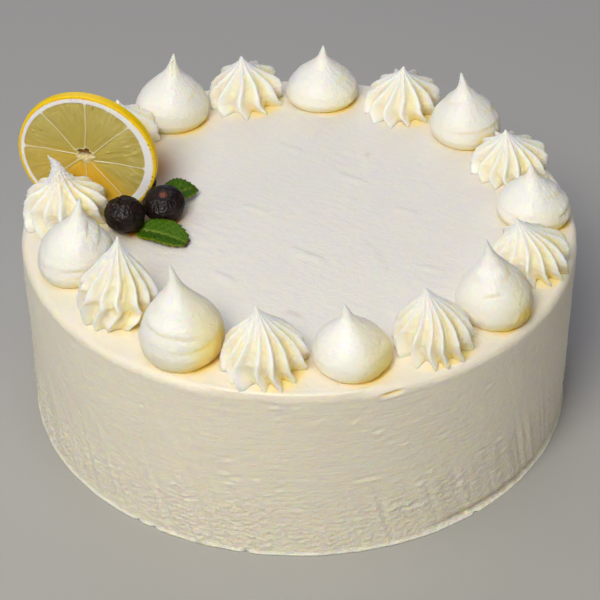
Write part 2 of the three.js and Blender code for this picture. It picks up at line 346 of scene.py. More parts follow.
class CAKE_PG_cream(bpy.types.PropertyGroup):
    """Sizes and colours of the cream, smoothed and piped."""

    height: length_prop("Height", "Height of the cake's flat top above its foot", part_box("frosted_cake")[1].z)
    rim_rounding: length_prop("Rim rounding", "Radius of the rounded edge of the top", 3.0 * MM)
    scraper_relief: length_prop(
        "Scraper relief", "Depth of the marks that the scraper left in the side", 0.42 * MM
    )
    ridge_depth: FloatProperty(
        name="Ridge depth",
        description="Depth of the valleys of a star dollop, as a share of its radius",
        default=0.34,
        min=0,
        max=0.6,
        subtype="FACTOR",
    )
    smoothed: colour_prop("Smoothed cream", "Colour of the cream on the cake's side and top", "F3ECDC")
    piped: colour_prop("Piped cream", "Colour of the cream in the dollops", "FBF7F2")
    # Painted sheen: a paler, greyer colour laid over the middle of the top for the cool sheen of the wide light
    # from behind.
    dried: colour_prop("Painted sheen", "Colour of the drier skin in the middle of the top", "ECE7DD")
    # Laid both in real stains on the top and as painted shadow beside the berries and behind the lemon slice.
    tint: colour_prop(
        "Stains and painted shadow",
        "Colour of the top's cream behind the lemon slice and beside the berries",
        "A87616",
    )
    # The two crease glows are painted light: warm colours laid into creases and at the foot of what stands on
    # the cream.
    glow: colour_prop(
        "Crease glow",
        "Colour of cream in a crease, where light has passed from one wall to the other",
        "FFE59C",
    )
    deep_glow: colour_prop("Deep crease glow", "Colour of cream at the very bottom of a crease", "FFDA72")


class CAKE_PG_lemon(bpy.types.PropertyGroup):
    """Colours of the lemon slice."""

    peel: colour_prop("Peel", "Colour of the waxed peel", "FFCE00")
    pith: colour_prop("Pith", "Colour of the pith", "FBF9FF")
    flesh: colour_prop("Flesh", "Colour of the flesh", "C0AE50")
    # Painted light: laid where the cream's light comes through the flesh from behind.
    painted_backlit_flesh: colour_prop("Deep flesh", "Colour of the flesh where it is seen against cream", "DEB638")
    # Laid on the juice sacs' middles, which are real, and more strongly toward the right and the rim as painted
    # light.
    pale_flesh: colour_prop("Pale flesh", "Colour of the middle of a juice sac", "E6DA9A")
    membrane: colour_prop("Membrane", "Colour of the thin walls between the segments", "DDD096")
    # Painted shade: the dark colour laid into the hollow of the core.
    hollow: colour_prop("Hollow", "Colour of the hollow in the upper half of the core", "8A5E10")
    core: colour_prop("Core", "Colour of the white fibres in the lower half of the core", "F6E6DC")
    oil_glands: colour_prop(
        "Oil glands", "Colour of the dark dots where the knife went through the peel's oil glands", "8C6A10"
    )


class CAKE_PG_berries(bpy.types.PropertyGroup):
    """Colours of the berries."""

    skin: colour_prop("Skin", "Colour of the dark skin", "0F0605")
    bloom: colour_prop("Bloom", "Colour of the skin where its wax lies thicker", "24120F")
    foot: colour_prop("Foot", "Colour of the skin near the foot", "2A1E13")
    scar: colour_prop("Scar", "Colour of the raw scar in a berry's crown", "8C5444")


class CAKE_PG_mint(bpy.types.PropertyGroup):
    """Colours of the mint leaves."""

    blade: colour_prop("Blade", "Colour of the blade", "466A02")
    shaded_blade: colour_prop(
        "Shaded blade", "Colour of the blade's other half, on the near side of the midrib", "325400"
    )
    vein: colour_prop("Vein", "Colour of the midrib and the side veins", "8C9C40")
    edge: colour_prop("Edge", "Colour of the near edge", "728008")
    teeth: colour_prop("Teeth", "Colour of the teeth's browned tips", "4A2808")


# ------------------------------------------------------------------ cream


def stretched_noise(tree, where, size, turn=0.0, detail=3.0):
    """Noise drawn out to features of this size in mm, its long way turned by an angle in degrees."""
    laid = add(
        tree,
        "ShaderNodeMapping",
        {
            "Vector": where,
            "Rotation": (0, 0, math.radians(turn)),
            "Scale": [side * MM for side in size],
        },
        vector_type="TEXTURE",
    )
    drawn = add(
        tree,
        "ShaderNodeTexNoise",
        {"Vector": laid.outputs["Vector"], "Scale": 1.0, "Detail": detail, "Roughness": 0.55},
    )
    return drawn.outputs["Fac"]


# The tool's marks in mm, along, across and into the skin: slanting strokes on the top, and level drags
# on the side.
STROKES = (7, 1.9, 6)
STROKE_TURN = -35
DRAGS = (9, 9, 0.7)


def cream_material(name, colour, settings, bubble, light_reach):
    """Whipped cream: fat and air, matt to satin, with light that wanders under the skin.

    To the eye it is soft ivory without hard shadows, its creases fill with warm yellow, partly from light under
    the skin and partly painted glow, and its skin has the fine grain of burst bubbles. A paler grey is painted
    over the middle of the top as its sheen. A bubble and the light's reach are in mm. The bubbles are drawn at
    0.4 to 0.5 mm, coarser than real ones, so that they show.
    """
    material, tree, shader = new_material(
        name,
        {
            "IOR": 1.45,
            "Coat Weight": 0.2,
            "Coat Roughness": 0.34,
            "Coat IOR": 1.45,
            "Subsurface Weight": 1.0,
            "Subsurface Radius": (1.0, 0.74, 0.2),
            "Subsurface Scale": light_reach * MM,
        },
    )
    where = add(tree, "ShaderNodeTexCoord").outputs["Object"]
    clouds = stretched_noise(tree, where, (14, 14, 14), detail=2.0)
    grain = stretched_noise(tree, where, (bubble, bubble, bubble))
    glow = add(tree, "ShaderNodeAttribute", attribute_name="glow").outputs["Fac"]
    warm = add(tree, "ShaderNodeMath", {0: glow, 1: 1.6}, operation="MULTIPLY", use_clamp=True)
    deep = add(tree, "ShaderNodeMapRange", {"Value": glow, "From Min": 0.45})
    # Coats over the cream: random clouds, a painted sheen, painted glow in creases, and real stains with
    # painted shadow.
    coats = [
        (clouds, [0.95 * part for part in colour]),
        ("dried", settings.dried),
        (warm.outputs["Value"], settings.glow),
        (deep.outputs["Result"], settings.deep_glow),
        ("tint", settings.tint),
    ]
    tree.links.new(laid_over(tree, colour, coats), shader.inputs["Base Color"])
    rough = add(
        tree,
        "ShaderNodeMapRange",
        {"Value": grain, "From Min": 0.3, "From Max": 0.7, "To Min": 0.34, "To Max": 0.56},
    )
    tree.links.new(rough.outputs["Result"], shader.inputs["Roughness"])

    # Three layers of relief: knobs of stiff cream, the marks of the tool, and burst bubbles.
    knobs = stretched_noise(tree, where, (4 * bubble, 4 * bubble, 4 * bubble), detail=2.0)
    knobby = add(tree, "ShaderNodeAttribute", attribute_name="knobby").outputs["Fac"]
    stiff = add(tree, "ShaderNodeMath", {0: knobby, 1: knobs}, operation="MULTIPLY")
    strokes = stretched_noise(tree, where, STROKES, turn=STROKE_TURN, detail=4.0)
    drags = stretched_noise(tree, where, DRAGS, detail=4.0)
    upright = add(tree, "ShaderNodeAttribute", attribute_name="upright").outputs["Fac"]
    tool = add(tree, "ShaderNodeMix", {0: upright, 2: strokes, 3: drags})
    layers = ((stiff.outputs["Value"], 0.7, 1.0), (tool.outputs[0], 0.32, 0.6), (grain, 0.4, 0.2))
    under = {}
    for height, strength, depth in layers:
        inputs = {"Height": height, "Strength": strength, "Distance": depth * MM, **under}
        under = {"Normal": add(tree, "ShaderNodeBump", inputs).outputs["Normal"]}
    tree.links.new(under["Normal"], shader.inputs["Normal"])
    return material


# ------------------------------------------------------------------ the frosted cake

AROUND = 640  # points round the side, a multiple of four for the top's grid
ROW_STEP = 0.8  # mm between rows of points up the side
RIM_ROWS = 11
GIRTH = 667  # mm round the side, in which its marks are drawn

LIP = dict(out=0.5, height=0.7)  # where the cream spread at the foot
LIP_NICKS = (-125, -121, -101, -52)  # azimuths at which the lip is broken
NICK_DEPTH = 1.2
GROOVE = dict(azimuth=-43, half_span=22, height=2.6, half_width=1.3, depth=2.2)
RIDGE_STRETCH = (-112, -76)  # azimuths between which the rim stands up as a sharp ridge
SLIT = dict(azimuth=-72.6, half_span=2.0, below=2.4, climb=0.35, half_height=0.5, depth=1.3)

# Small tears in the side, each a bright lip under a notch: azimuth, height and half width in mm.
TEARS = [
    (-104.4, 43.0, 2.4), (-105.0, 36.8, 1.8), (-102.6, 34.6, 1.8), (-77.0, 34.0, 5.0),
    (-71.4, 31.2, 1.4), (-79.8, 62.2, 1.0), (-75.2, 55.6, 1.8), (-72.6, 50.0, 1.0),
    (-94.8, 70.0, 2.4), (-90.6, 70.3, 1.2), (-94.4, 64.8, 0.9), (-70.6, 18.6, 3.6),
    (-66.8, 15.4, 4.4), (-61.0, 45.6, 1.2), (-46.4, 30.2, 2.0),
]
MORE_TEARS = 70  # scattered round the rest of the side


def tear_marks():
    """Every tear in the side: those in front listed, the others drawn at random."""
    luck = np.random.default_rng(83)
    azimuth = luck.uniform(-180, 180, MORE_TEARS)
    height = luck.uniform(6, 66, MORE_TEARS)
    half_width = luck.uniform(0.6, 2.2, MORE_TEARS) * (1 - 0.4 * height / 76)
    return TEARS + list(zip(azimuth, height, half_width))


def torn(azimuth, height):
    """Relief in mm of the tears at one height of the side."""
    relief = np.zeros(len(azimuth))
    for at, level, half_width in tear_marks():
        if abs(height - level) < 4:
            across = np.radians(degrees_between(azimuth, at)) * CAKE_RADIUS / half_width
            above = height - level - 0.12 * across
            lip = bell(above / 0.8)
            notch = bell((above - 1.4) / 0.7)
            relief = relief + plateau(across) * (0.34 * lip - 0.36 * notch)
    return relief


def side_relief(azimuth, height, depth):
    """How far the side stands out from its true cone at each azimuth (degrees) and height (mm)."""
    turn = np.radians(azimuth)
    swells = np.sin(3 * turn + 0.07 * height) + 0.7 * np.sin(5 * turn - 1.3)
    swells = swells + 0.6 * np.sin(0.13 * height + 2 * turn)
    arc = azimuth / 360
    slant = height * 0.9
    slanted = (arc * GIRTH + slant) / GIRTH
    drag = layered(slanted * 48, height / 1.9, 48, 11)
    knobs = layered((arc * GIRTH + slant * 0.3) / GIRTH * 250, height / 2.1, 250, 23)
    pits = smoothstep(noise(slanted * 150, height / 2.6, 150, 37), 0.6, 0.95)
    lips = smoothstep(noise(slanted * 36, height / 2.2, 36, 43), 0.5, 0.9)
    fine = noise(arc * 420, height / 1.3, 420, 41)
    low = smoothstep(-height, -40, -14)
    patches = 0.4 + 0.6 * smoothstep(noise(arc * 12, height / 22, 12, 29), -0.5, 0.5)
    marks = 0.5 * drag + (0.15 + 2.3 * low * patches) * knobs + 0.15 * fine + 0.5 * lips - 0.6 * pits
    return -0.35 * (1 - swells / 2.3) / 2 + depth * marks


def slit(azimuth, up):
    """Where a short slit opens under the rim and its lower lip stands out: 1 in it, negative on the lip."""
    across = degrees_between(azimuth, SLIT["azimuth"]) / SLIT["half_span"]
    level = (up + SLIT["below"] - SLIT["climb"] * across) / SLIT["half_height"]
    return plateau(across) * (bell(level) - 0.4 * bell(level + 2))


def groove_depth(azimuth, height):
    """How deep the dent near the foot goes at each azimuth and height."""
    across = np.abs(degrees_between(azimuth, GROOVE["azimuth"])) / GROOVE["half_span"]
    along = (height - GROOVE["height"]) / GROOVE["half_width"]
    return GROOVE["depth"] * (1 - smoothstep(across, 0.45, 1)) * bell(along)


def knobby_side(azimuth, height):
    """How knobby the side's skin is: most toward the foot, in patches."""
    low = smoothstep(-height, -36, -12)
    patches = 0.5 + 0.5 * smoothstep(noise(azimuth / 30, height / 22, 12, 29), -0.5, 0.5)
    return 0.3 + 0.7 * low * patches


# Marks in the top, each a path and a width in mm: chips that the spatula lifted, and yellower stains with
# their strength. The noise on the top repeats only after SPREAD units, far outside it.
SPREAD = 8192
CHIPS = [
    (((-31.5, -36.0), (-28.5, -37.6)), 0.7), (((-29.5, -38.0), (-26.0, -39.2)), 0.8),
    (((-28.0, -40.2), (-25.0, -41.4)), 0.7), (((-3.0, -20.4), (1.0, -22.4)), 0.7),
    (((2.0, -23.6), (7.6, -26.8)), 0.9), (((-1.0, -24.4), (2.4, -25.6)), 0.7),
    (((-20.0, 8.0), (-14.0, 4.0)), 0.7), (((16.0, 30.0), (24.0, 25.0)), 0.8),
    (((38.0, 6.0), (44.0, 3.0)), 0.7), (((-8.0, 52.0), (0.0, 47.5)), 0.7),
    (((-36.0, -56.0), (-28.0, -61.0)), 0.8), (((46.0, -32.0), (52.0, -35.0)), 0.7),
]
STAINS = [
    (((-4.4, -59.1), (0.2, -61.5)), 1.0, 0.2), (((27.2, 44.9), (27.6, 44.5)), 0.8, 0.35),
    (((24.5, -15.0), (29.5, -22.0), (32.2, -33.6)), 0.5, 0.14),
]


def top_relief(x, y):
    """How far the top stands above its plane: faint strokes of the spatula, laid slantwise."""
    along = 0.82 * x - 0.57 * y
    across = 0.57 * x + 0.82 * y
    middle = SPREAD / 2
    strokes = layered(along / 8 + middle, across / 1.7, SPREAD, 51)
    patches = smoothstep(noise(x / 22 + middle, y / 17, SPREAD, 57), -0.2, 0.6)
    swells = noise(x / 40 + middle, y / 35, SPREAD, 61)
    chips = smoothstep(noise(along / 4.2 + middle, across / 1.6, SPREAD, 67), 0.62, 0.95)
    relief = 0.3 * strokes * (0.25 + 0.75 * patches) + 0.3 * swells - 0.5 * chips * patches
    for path, width in CHIPS:
        gap, _ = distance_to_path(x, y, path)
        relief = relief + 0.7 * bell(gap / (1.4 * width))
    return relief


def disc_grid(count):
    """A grid of count by count squares pressed into a unit disc, and its rim in order of angle."""
    steps = np.linspace(-1, 1, count + 1)
    a, b = np.meshgrid(steps, steps, indexing="ij")
    wide = np.abs(a) > np.abs(b)
    safe_a = np.where(a == 0, 1, a)
    safe_b = np.where(b == 0, 1, b)
    angle = np.where(wide, np.pi / 4 * b / safe_a, np.pi / 2 - np.pi / 4 * a / safe_b)
    reach = np.where(wide, a, b)
    x, y = reach * np.cos(angle), reach * np.sin(angle)
    index = np.arange((count + 1) ** 2).reshape(count + 1, count + 1)
    quads = np.stack([index[:-1, :-1], index[1:, :-1], index[1:, 1:], index[:-1, 1:]], axis=-1)
    rim = np.concatenate([index[-1, :-1], index[::-1, -1][:-1], index[0, ::-1][:-1], index[:-1, 0]])
    return x.ravel(), y.ravel(), quads.reshape(-1, 4), rim


def dollop_places():
    """The dollops' centres on the cake's top, in mm."""
    azimuth = np.radians([FIRST_AZIMUTH + DOLLOP_STEP * i + d["off"] for i, d in enumerate(DOLLOPS)])
    out = np.array([d["out"] for d in DOLLOPS])
    return np.stack([out * np.cos(azimuth), out * np.sin(azimuth)], axis=-1)


GLOW_AZIMUTH = -12  # the main light comes from the left, so the painted glow lies on the right of what stands
LEMON_LIGHT = dict(x=-58, y=33, wide=8.5, deep=17)  # a painted patch of shadow on the top, lit golden through the slice, in mm


def away_from_light(x, y):
    """1 for points right of a middle, and little for points left of it."""
    turn = np.cos(np.arctan2(y, x) - math.radians(GLOW_AZIMUTH))
    return 0.1 + 0.9 * smoothstep(turn, -0.2, 0.95)


def contact_glow(x, y):
    """Painted glow on the top's cream where something stands on it: 1 at the seam, fading outward."""
    glow = np.zeros(x.shape)
    for (cx, cy), dollop in zip(dollop_places(), DOLLOPS):
        out = np.clip(np.hypot(x - cx, y - cy) - 0.9 * dollop["radius"], 0, None)
        side = away_from_light(x - cx, y - cy)
        strength = 0.6 if dollop["ridges"] else 1.0
        glow = np.maximum(glow, strength * side * np.exp(-out / (0.4 + 1.3 * side)))
    return np.clip(glow, 0, 1)


def stains_and_painted_shadow(x, y):
    """Where the top's cream takes the stain colour: real stains, painted shadow on the berries' side away from
    the light, and painted shadow behind the lemon slice, lit golden through it.
    """
    tint = np.zeros(x.shape)
    for path, width, strength in STAINS:
        gap, _ = distance_to_path(x, y, path)
        tint = tint + strength * bell(gap / width)
    # Painted shadow on the side of each berry away from the light.
    for berry in BERRIES:
        dx, dy = x - berry["x"], y - berry["y"]
        out = np.clip(np.hypot(dx, dy) - 0.7 * berry["radius"], 0, None)
        side = away_from_light(dx, dy)
        tint = np.maximum(tint, 1.2 * side * np.exp(-out / (0.6 + 2.2 * side)))
    # Painted shadow behind the lemon slice, lit golden where light comes through it.
    wide = (x - LEMON_LIGHT["x"]) / LEMON_LIGHT["wide"]
    deep = (y - LEMON_LIGHT["y"]) / LEMON_LIGHT["deep"]
    return np.clip(np.maximum(tint, 1.1 * bell(wide) * bell(deep)), 0, 1)


RIM_DROP = 1.1  # how much lower the top stands at the rim than inside the ring of dollops


def top_drop(reach):
    """How far the top has dropped at a distance from the cake's axis, in mm."""
    return RIM_DROP * smoothstep(reach, 91, CAKE_RADIUS - 2.5)


def side_rows(azimuth, height, rounding, relief):
    """Rows of radius and height up the side, from the foot's lip to where the rim begins to round."""
    nicks = sum(bell(degrees_between(azimuth, at) / 0.5) for at in LIP_NICKS)
    lip = LIP["out"] * (1 + 0.5 * noise(azimuth / 6, 0, 60, 71)) - NICK_DEPTH * nicks
    steps = round((height - rounding - 1) / ROW_STEP)
    rows = []
    for z in (0, 0.35, LIP["height"], *np.linspace(1, height - rounding, steps, endpoint=False)):
        out = lip
        if z > LIP["height"]:
            out = side_relief(azimuth, z, relief) - groove_depth(azimuth, z) + torn(azimuth, z)
            out = out - SLIT["depth"] * slit(azimuth, z - height)
        rows.append((CAKE_RADIUS - CAKE_TAPER * (1 - z / height) + out, z))
    return rows


def rim_rows(azimuth, height, rounding, relief, ridge):
    """Rows of radius and height over the rounded rim, which is tighter and stands up where ridge is 1."""
    edge_out = side_relief(azimuth, height - rounding, relief)
    wobble = noise(azimuth / 7.2, 0, 50, 73)
    tight = rounding * (1 - 0.62 * ridge)
    rows = []
    for step in np.linspace(0, 90, RIM_ROWS + 1)[:-1]:
        in_share, up_share = math.cos(math.radians(step)), math.sin(math.radians(step))
        z = height - rounding + (rounding - tight) * step / 90 + tight * up_share
        radius = CAKE_RADIUS - tight * (1 - in_share) + edge_out * in_share
        radius = radius + (0.3 * wobble + 0.25 * ridge) * up_share
        radius = radius - SLIT["depth"] * slit(azimuth, z - height) * in_share
        rows.append((radius, z + ridge * (0.75 + 0.3 * wobble) * up_share**6))
    return rows


def cake_mesh(settings):
    """Vertices, faces and paint of the smoothed cream: side, rounded rim and top in one surface."""
    top_height = settings.height / MM
    height = top_height - RIM_DROP
    rounding = settings.rim_rounding / MM
    relief = settings.scraper_relief / MM
    x, y, quads, rim = disc_grid(AROUND // 4)
    azimuth = degrees_of(x[rim], y[rim])
    around = np.radians(azimuth)
    ridge = smoothstep(azimuth, RIDGE_STRETCH[0], RIDGE_STRETCH[0] + 8)
    ridge = ridge * (1 - smoothstep(azimuth, RIDGE_STRETCH[1] - 4, RIDGE_STRETCH[1]))
    rows = side_rows(azimuth, height, rounding, relief)
    rows += rim_rows(azimuth, height, rounding, relief, ridge)
    side = np.concatenate([points(r * np.cos(around), r * np.sin(around), z) for r, z in rows])

    reach = np.hypot(x, y)
    tx, ty = x * (CAKE_RADIUS - rounding), y * (CAKE_RADIUS - rounding)
    rim_lift = np.interp(degrees_of(x, y), np.sort(azimuth), ridge[np.argsort(azimuth)])
    rough = 0.25 + 0.75 * (1 - smoothstep(reach, 0.9, 0.985))
    tz = top_height - top_drop(np.hypot(tx, ty)) + top_relief(tx, ty) * rough
    tz = np.where(reach > 0.9999, height, tz + 0.3 * rim_lift * smoothstep(reach, 0.965, 1.0))

    vertices = np.concatenate([side, points(tx, ty, tz), [[0, 0, 0]]])
    count = len(rim)
    start = len(side)
    last = start - count
    foot = len(vertices) - 1
    faces = ring_faces(len(rows), count)
    for k in range(count):
        after = (k + 1) % count
        faces.append([last + k, last + after, start + int(rim[after]), start + int(rim[k])])
        faces.append([after, k, foot])
    faces += (quads + start).tolist()

    side_azimuth = degrees_of(side[:, 0], side[:, 1])
    # Painted glow inside the slit under the rim.
    slit_glow = np.clip(slit(side_azimuth, side[:, 2] - height), 0, 1)
    # Painted sheen over the middle of the top, fading out before the ring of dollops.
    dried = 1 - smoothstep(np.hypot(tx, ty), 72, 88)
    on_side, on_top = np.zeros(start), np.zeros(len(tx))
    paint = {
        "glow": 0.9 * np.concatenate([slit_glow, contact_glow(tx, ty), [0]]),
        "tint": np.concatenate([on_side, stains_and_painted_shadow(tx, ty), [0]]),
        "dried": np.concatenate([on_side, dried, [0]]),
        "upright": np.concatenate([on_side[:last] + 1, on_side[last:], on_top, [0]]),
        "knobby": np.concatenate([knobby_side(side_azimuth, side[:, 2]), on_top + 0.3, [0]]),
    }
    return vertices, faces, paint


class CAKE_OT_frosted_cake(bpy.types.Operator):
    """Makes the cake with its smoothed cream"""

    bl_idname = "cake.frosted_cake"
    bl_label = "Frosted cake"

    def execute(self, context):
        settings = context.scene.cake_cream
        cream = cream_material("Whipped cream, scraped smooth", settings.smoothed, settings, 0.5, 1.1)
        vertices, faces, paint = cake_mesh(settings)
        piece = new_piece("smoothed_cream", vertices, faces, cream, paint)
        place(piece, "frosted_cake")
        return {"FINISHED"}


# ------------------------------------------------------------------ the piped dollops

# Outlines: the share of the full radius at shares of the height.
PLAIN_PROFILE = [
    (0, 0.84), (0.07, 0.95), (0.16, 1), (0.3, 0.94), (0.45, 0.76),
    (0.57, 0.54), (0.68, 0.32), (0.8, 0.15), (0.91, 0.075), (1, 0.02),
]
STAR_PROFILE = [
    (0, 0.98), (0.08, 1), (0.3, 0.93), (0.48, 0.75), (0.64, 0.5), (0.78, 0.26), (0.9, 0.1), (1, 0.02),
]
# The first star dollop was drawn up roughly: a square shoulder under a thin ragged neck.
RAGGED_PROFILE = [
    (0, 0.97), (0.1, 1), (0.33, 0.97), (0.46, 0.76), (0.53, 0.49),
    (0.6, 0.33), (0.68, 0.24), (0.78, 0.16), (0.9, 0.075), (1, 0.01),
]
# The second was piped in two turns. The upper one hangs over a seam, given here as azimuth and share of
# the height, and the ridges under it are swept to the left.
TWO_TURN_PROFILE = [
    (0, 0.86), (0.06, 0.94), (0.15, 1), (0.3, 0.97), (0.48, 0.77),
    (0.64, 0.5), (0.78, 0.26), (0.9, 0.1), (1, 0.02),
]
SEAM = [
    (-180, 0.38), (-154, 0.37), (-124, 0.33), (-108, 0.31), (-78, 0.25), (-56, 0.21),
    (-30, 0.17), (0, 0.12), (60, 0.15), (120, 0.3), (180, 0.38),
]

# How much of the full ridge depth a star dollop has at each share of its height.
RIDGE_GROWTH = [(0, 1), (0.12, 0.9), (0.35, 0.66), (0.6, 0.6), (0.8, 0.55), (0.93, 0.3), (1, 0.0)]
CREST_SHARPNESS = 3.8  # the higher, the thinner the crests between the valleys
FRILL_WAY = math.pi / 2 - 0.5  # the far side, where the ridges of the dollops at the back fan out
LEAN_START = 0.3  # a dollop leans from this share of its height on
DOLLOP_SINK = 0.5  # a dollop's foot reaches this far into the top, so that no gap shows
ROUGH_SIDE = math.radians(-10)  # the way the rougher side of each dollop's skin looks

POINTS_PER_RIDGE = 14
PLAIN_POINTS = 120
DOLLOP_ROWS = 84
MORE_ROWS = 40  # in the dollop of two turns, for its seam

# Folds that the nozzle left in the plain dollops, by dollop number in the ring: share of the height,
# azimuth and half span in degrees, depth in mm, and how much of the height it climbs along its span.
FOLDS = {
    1: [(0.27, -60, 55, 0.4, -0.01), (0.19, -55, 50, 0.35, 0.0), (0.66, -30, 40, 0.45, 0.1),
        (0.52, -12, 36, 0.4, 0.06), (0.6, 60, 50, 0.4, 0.1)],
    3: [(0.4, -118, 74, 0.5, -0.03), (0.27, -70, 44, 0.25, 0.02), (0.16, 150, 60, 0.5, 0.05)],
    5: [(0.3, 120, 60, 0.5, 0.04)],
    7: [(0.45, -96, 24, 0.45, 0.03), (0.62, -34, 50, 0.22, 0.06), (0.35, 100, 60, 0.5, -0.05)],
    9: [(0.3, -34, 18, 0.5, 0.03), (0.52, -24, 50, 0.2, -0.05), (0.42, 80, 50, 0.5, 0.05)],
    11: [(0.6, -150, 50, 0.5, 0.06), (0.32, -70, 60, 0.25, 0.04), (0.48, -10, 40, 0.2, -0.04),
         (0.5, 130, 50, 0.5, 0.05)],
    13: [(0.4, 60, 60, 0.5, 0.05), (0.52, -30, 40, 0.2, 0.06)],
    15: [(0.35, 90, 60, 0.5, 0.05), (0.5, -20, 40, 0.2, 0.05)],
    17: [(0.35, 0, 60, 0.5, 0.05)],
}
FOLD_HEIGHT = 0.035  # a fold's height as a share of the dollop's
TIP_SLIT = dict(dollop=15, azimuth=-85, low=0.7, high=0.93, depth=1.0, half_width=0.45)


def planes_around(i, places):
    """The upright planes a dollop is pressed against, each a unit normal and a reach from its axis."""
    count = len(DOLLOPS)
    centre = places[i]
    planes = []
    for j in ((i + 1) % count, (i - 1) % count):
        away = places[j] - centre
        distance = np.hypot(*away)
        share = DOLLOPS[i]["radius"] / (DOLLOPS[i]["radius"] + DOLLOPS[j]["radius"])
        planes.append((away / distance, distance * share - GAP / 2))
    turn = math.radians(LEMON["turn"])
    facing = np.array([math.sin(turn), -math.cos(turn)])
    ahead = float((centre - np.array([LEMON["x"], LEMON["y"]])) @ facing)
    if ahead > 0:
        planes.append((-facing, ahead - GAP))
    else:
        planes.append((facing, -ahead - LEMON["thickness"] - GAP))
    out = np.hypot(*centre)
    planes.append((centre / out, CAKE_RADIUS - RIM_MARGIN - out))
    return planes


def pressed(x, y, planes):
    """Points drawn back to the planes, softly, and how hard each was pressed."""
    touch = np.zeros(x.shape)
    for normal, reach in planes:
        past = x * normal[0] + y * normal[1] - reach
        drawn = np.clip(past, 0, None)
        x = x - normal[0] * drawn
        y = y - normal[1] * drawn
        touch = np.maximum(touch, smoothstep(past, -1.1, 0.4))
    return x, y, touch


def row_heights(rows):
    """Height shares from foot to tip, closer together at the foot and at the tip."""
    u = np.linspace(0, 1, rows)
    return (u - 0.12 * np.sin(2 * np.pi * u) / np.pi)[:, None]


def dollop_rings(dollop, radius, angle, t, planes, centre, floor):
    """Rows of points of a dollop, from its radius at each angle and height share."""
    lean = dollop["lean"] * np.clip((t - LEAN_START) / (1 - LEAN_START), 0, 1) ** 1.5
    curl = dollop.get("curl", 0) * smoothstep(t, 0.82, 1.0) ** 2
    x = radius * np.cos(angle) + lean + curl
    y = radius * np.sin(angle)
    x, y, touch = pressed(x, y, planes)
    settled = top_drop(np.hypot(x + centre[0], y + centre[1])) * (1 - t) ** 2
    z = floor - DOLLOP_SINK + t * (dollop["height"] + DOLLOP_SINK) - settled
    return points(x + centre[0], y + centre[1], z), touch


def two_turns(t, azimuth):
    """How the ridges of a dollop piped in two turns are shifted (degrees), its ledge (mm) and its seam."""
    below = np.interp(azimuth, *zip(*SEAM)) - t
    front = smoothstep(azimuth, -150, -95) * (1 - smoothstep(azimuth, 100, 150))
    sweep = -(6 + 12 * front) * smoothstep(below, -0.02, 0.26)
    sway = 3 * bell((below + 0.02) / 0.05) - 3 * bell((below + 0.14) / 0.08)
    ledge = 0.2 * bell((below + 0.04) / 0.05) - 0.22 * bell((below - 0.03) / 0.035)
    seam = bell((below - 0.02) / 0.02)
    return sweep + sway, ledge, seam


def star_crests(ridge, wander, ridges, seed):
    """1 on a crest and 0 in a valley of a star dollop, each ridge with its own height and place."""
    number = np.floor(ridge + 0.5).astype(int) % ridges
    luck = np.random.default_rng(seed)
    strength = 1 + luck.uniform(-0.2, 0.2, ridges)[number]
    place_shift = luck.uniform(-0.16, 0.16, ridges)[number]
    near = (ridge + 0.5) % 1 - 0.5
    eased = near - place_shift * (1 - (2 * near) ** 2)
    crest = np.cos(np.pi * eased) ** 2 + 0.06 * wander * np.sin(2 * np.pi * near)
    return crest.clip(0, 1) ** (CREST_SHARPNESS / 2) * strength


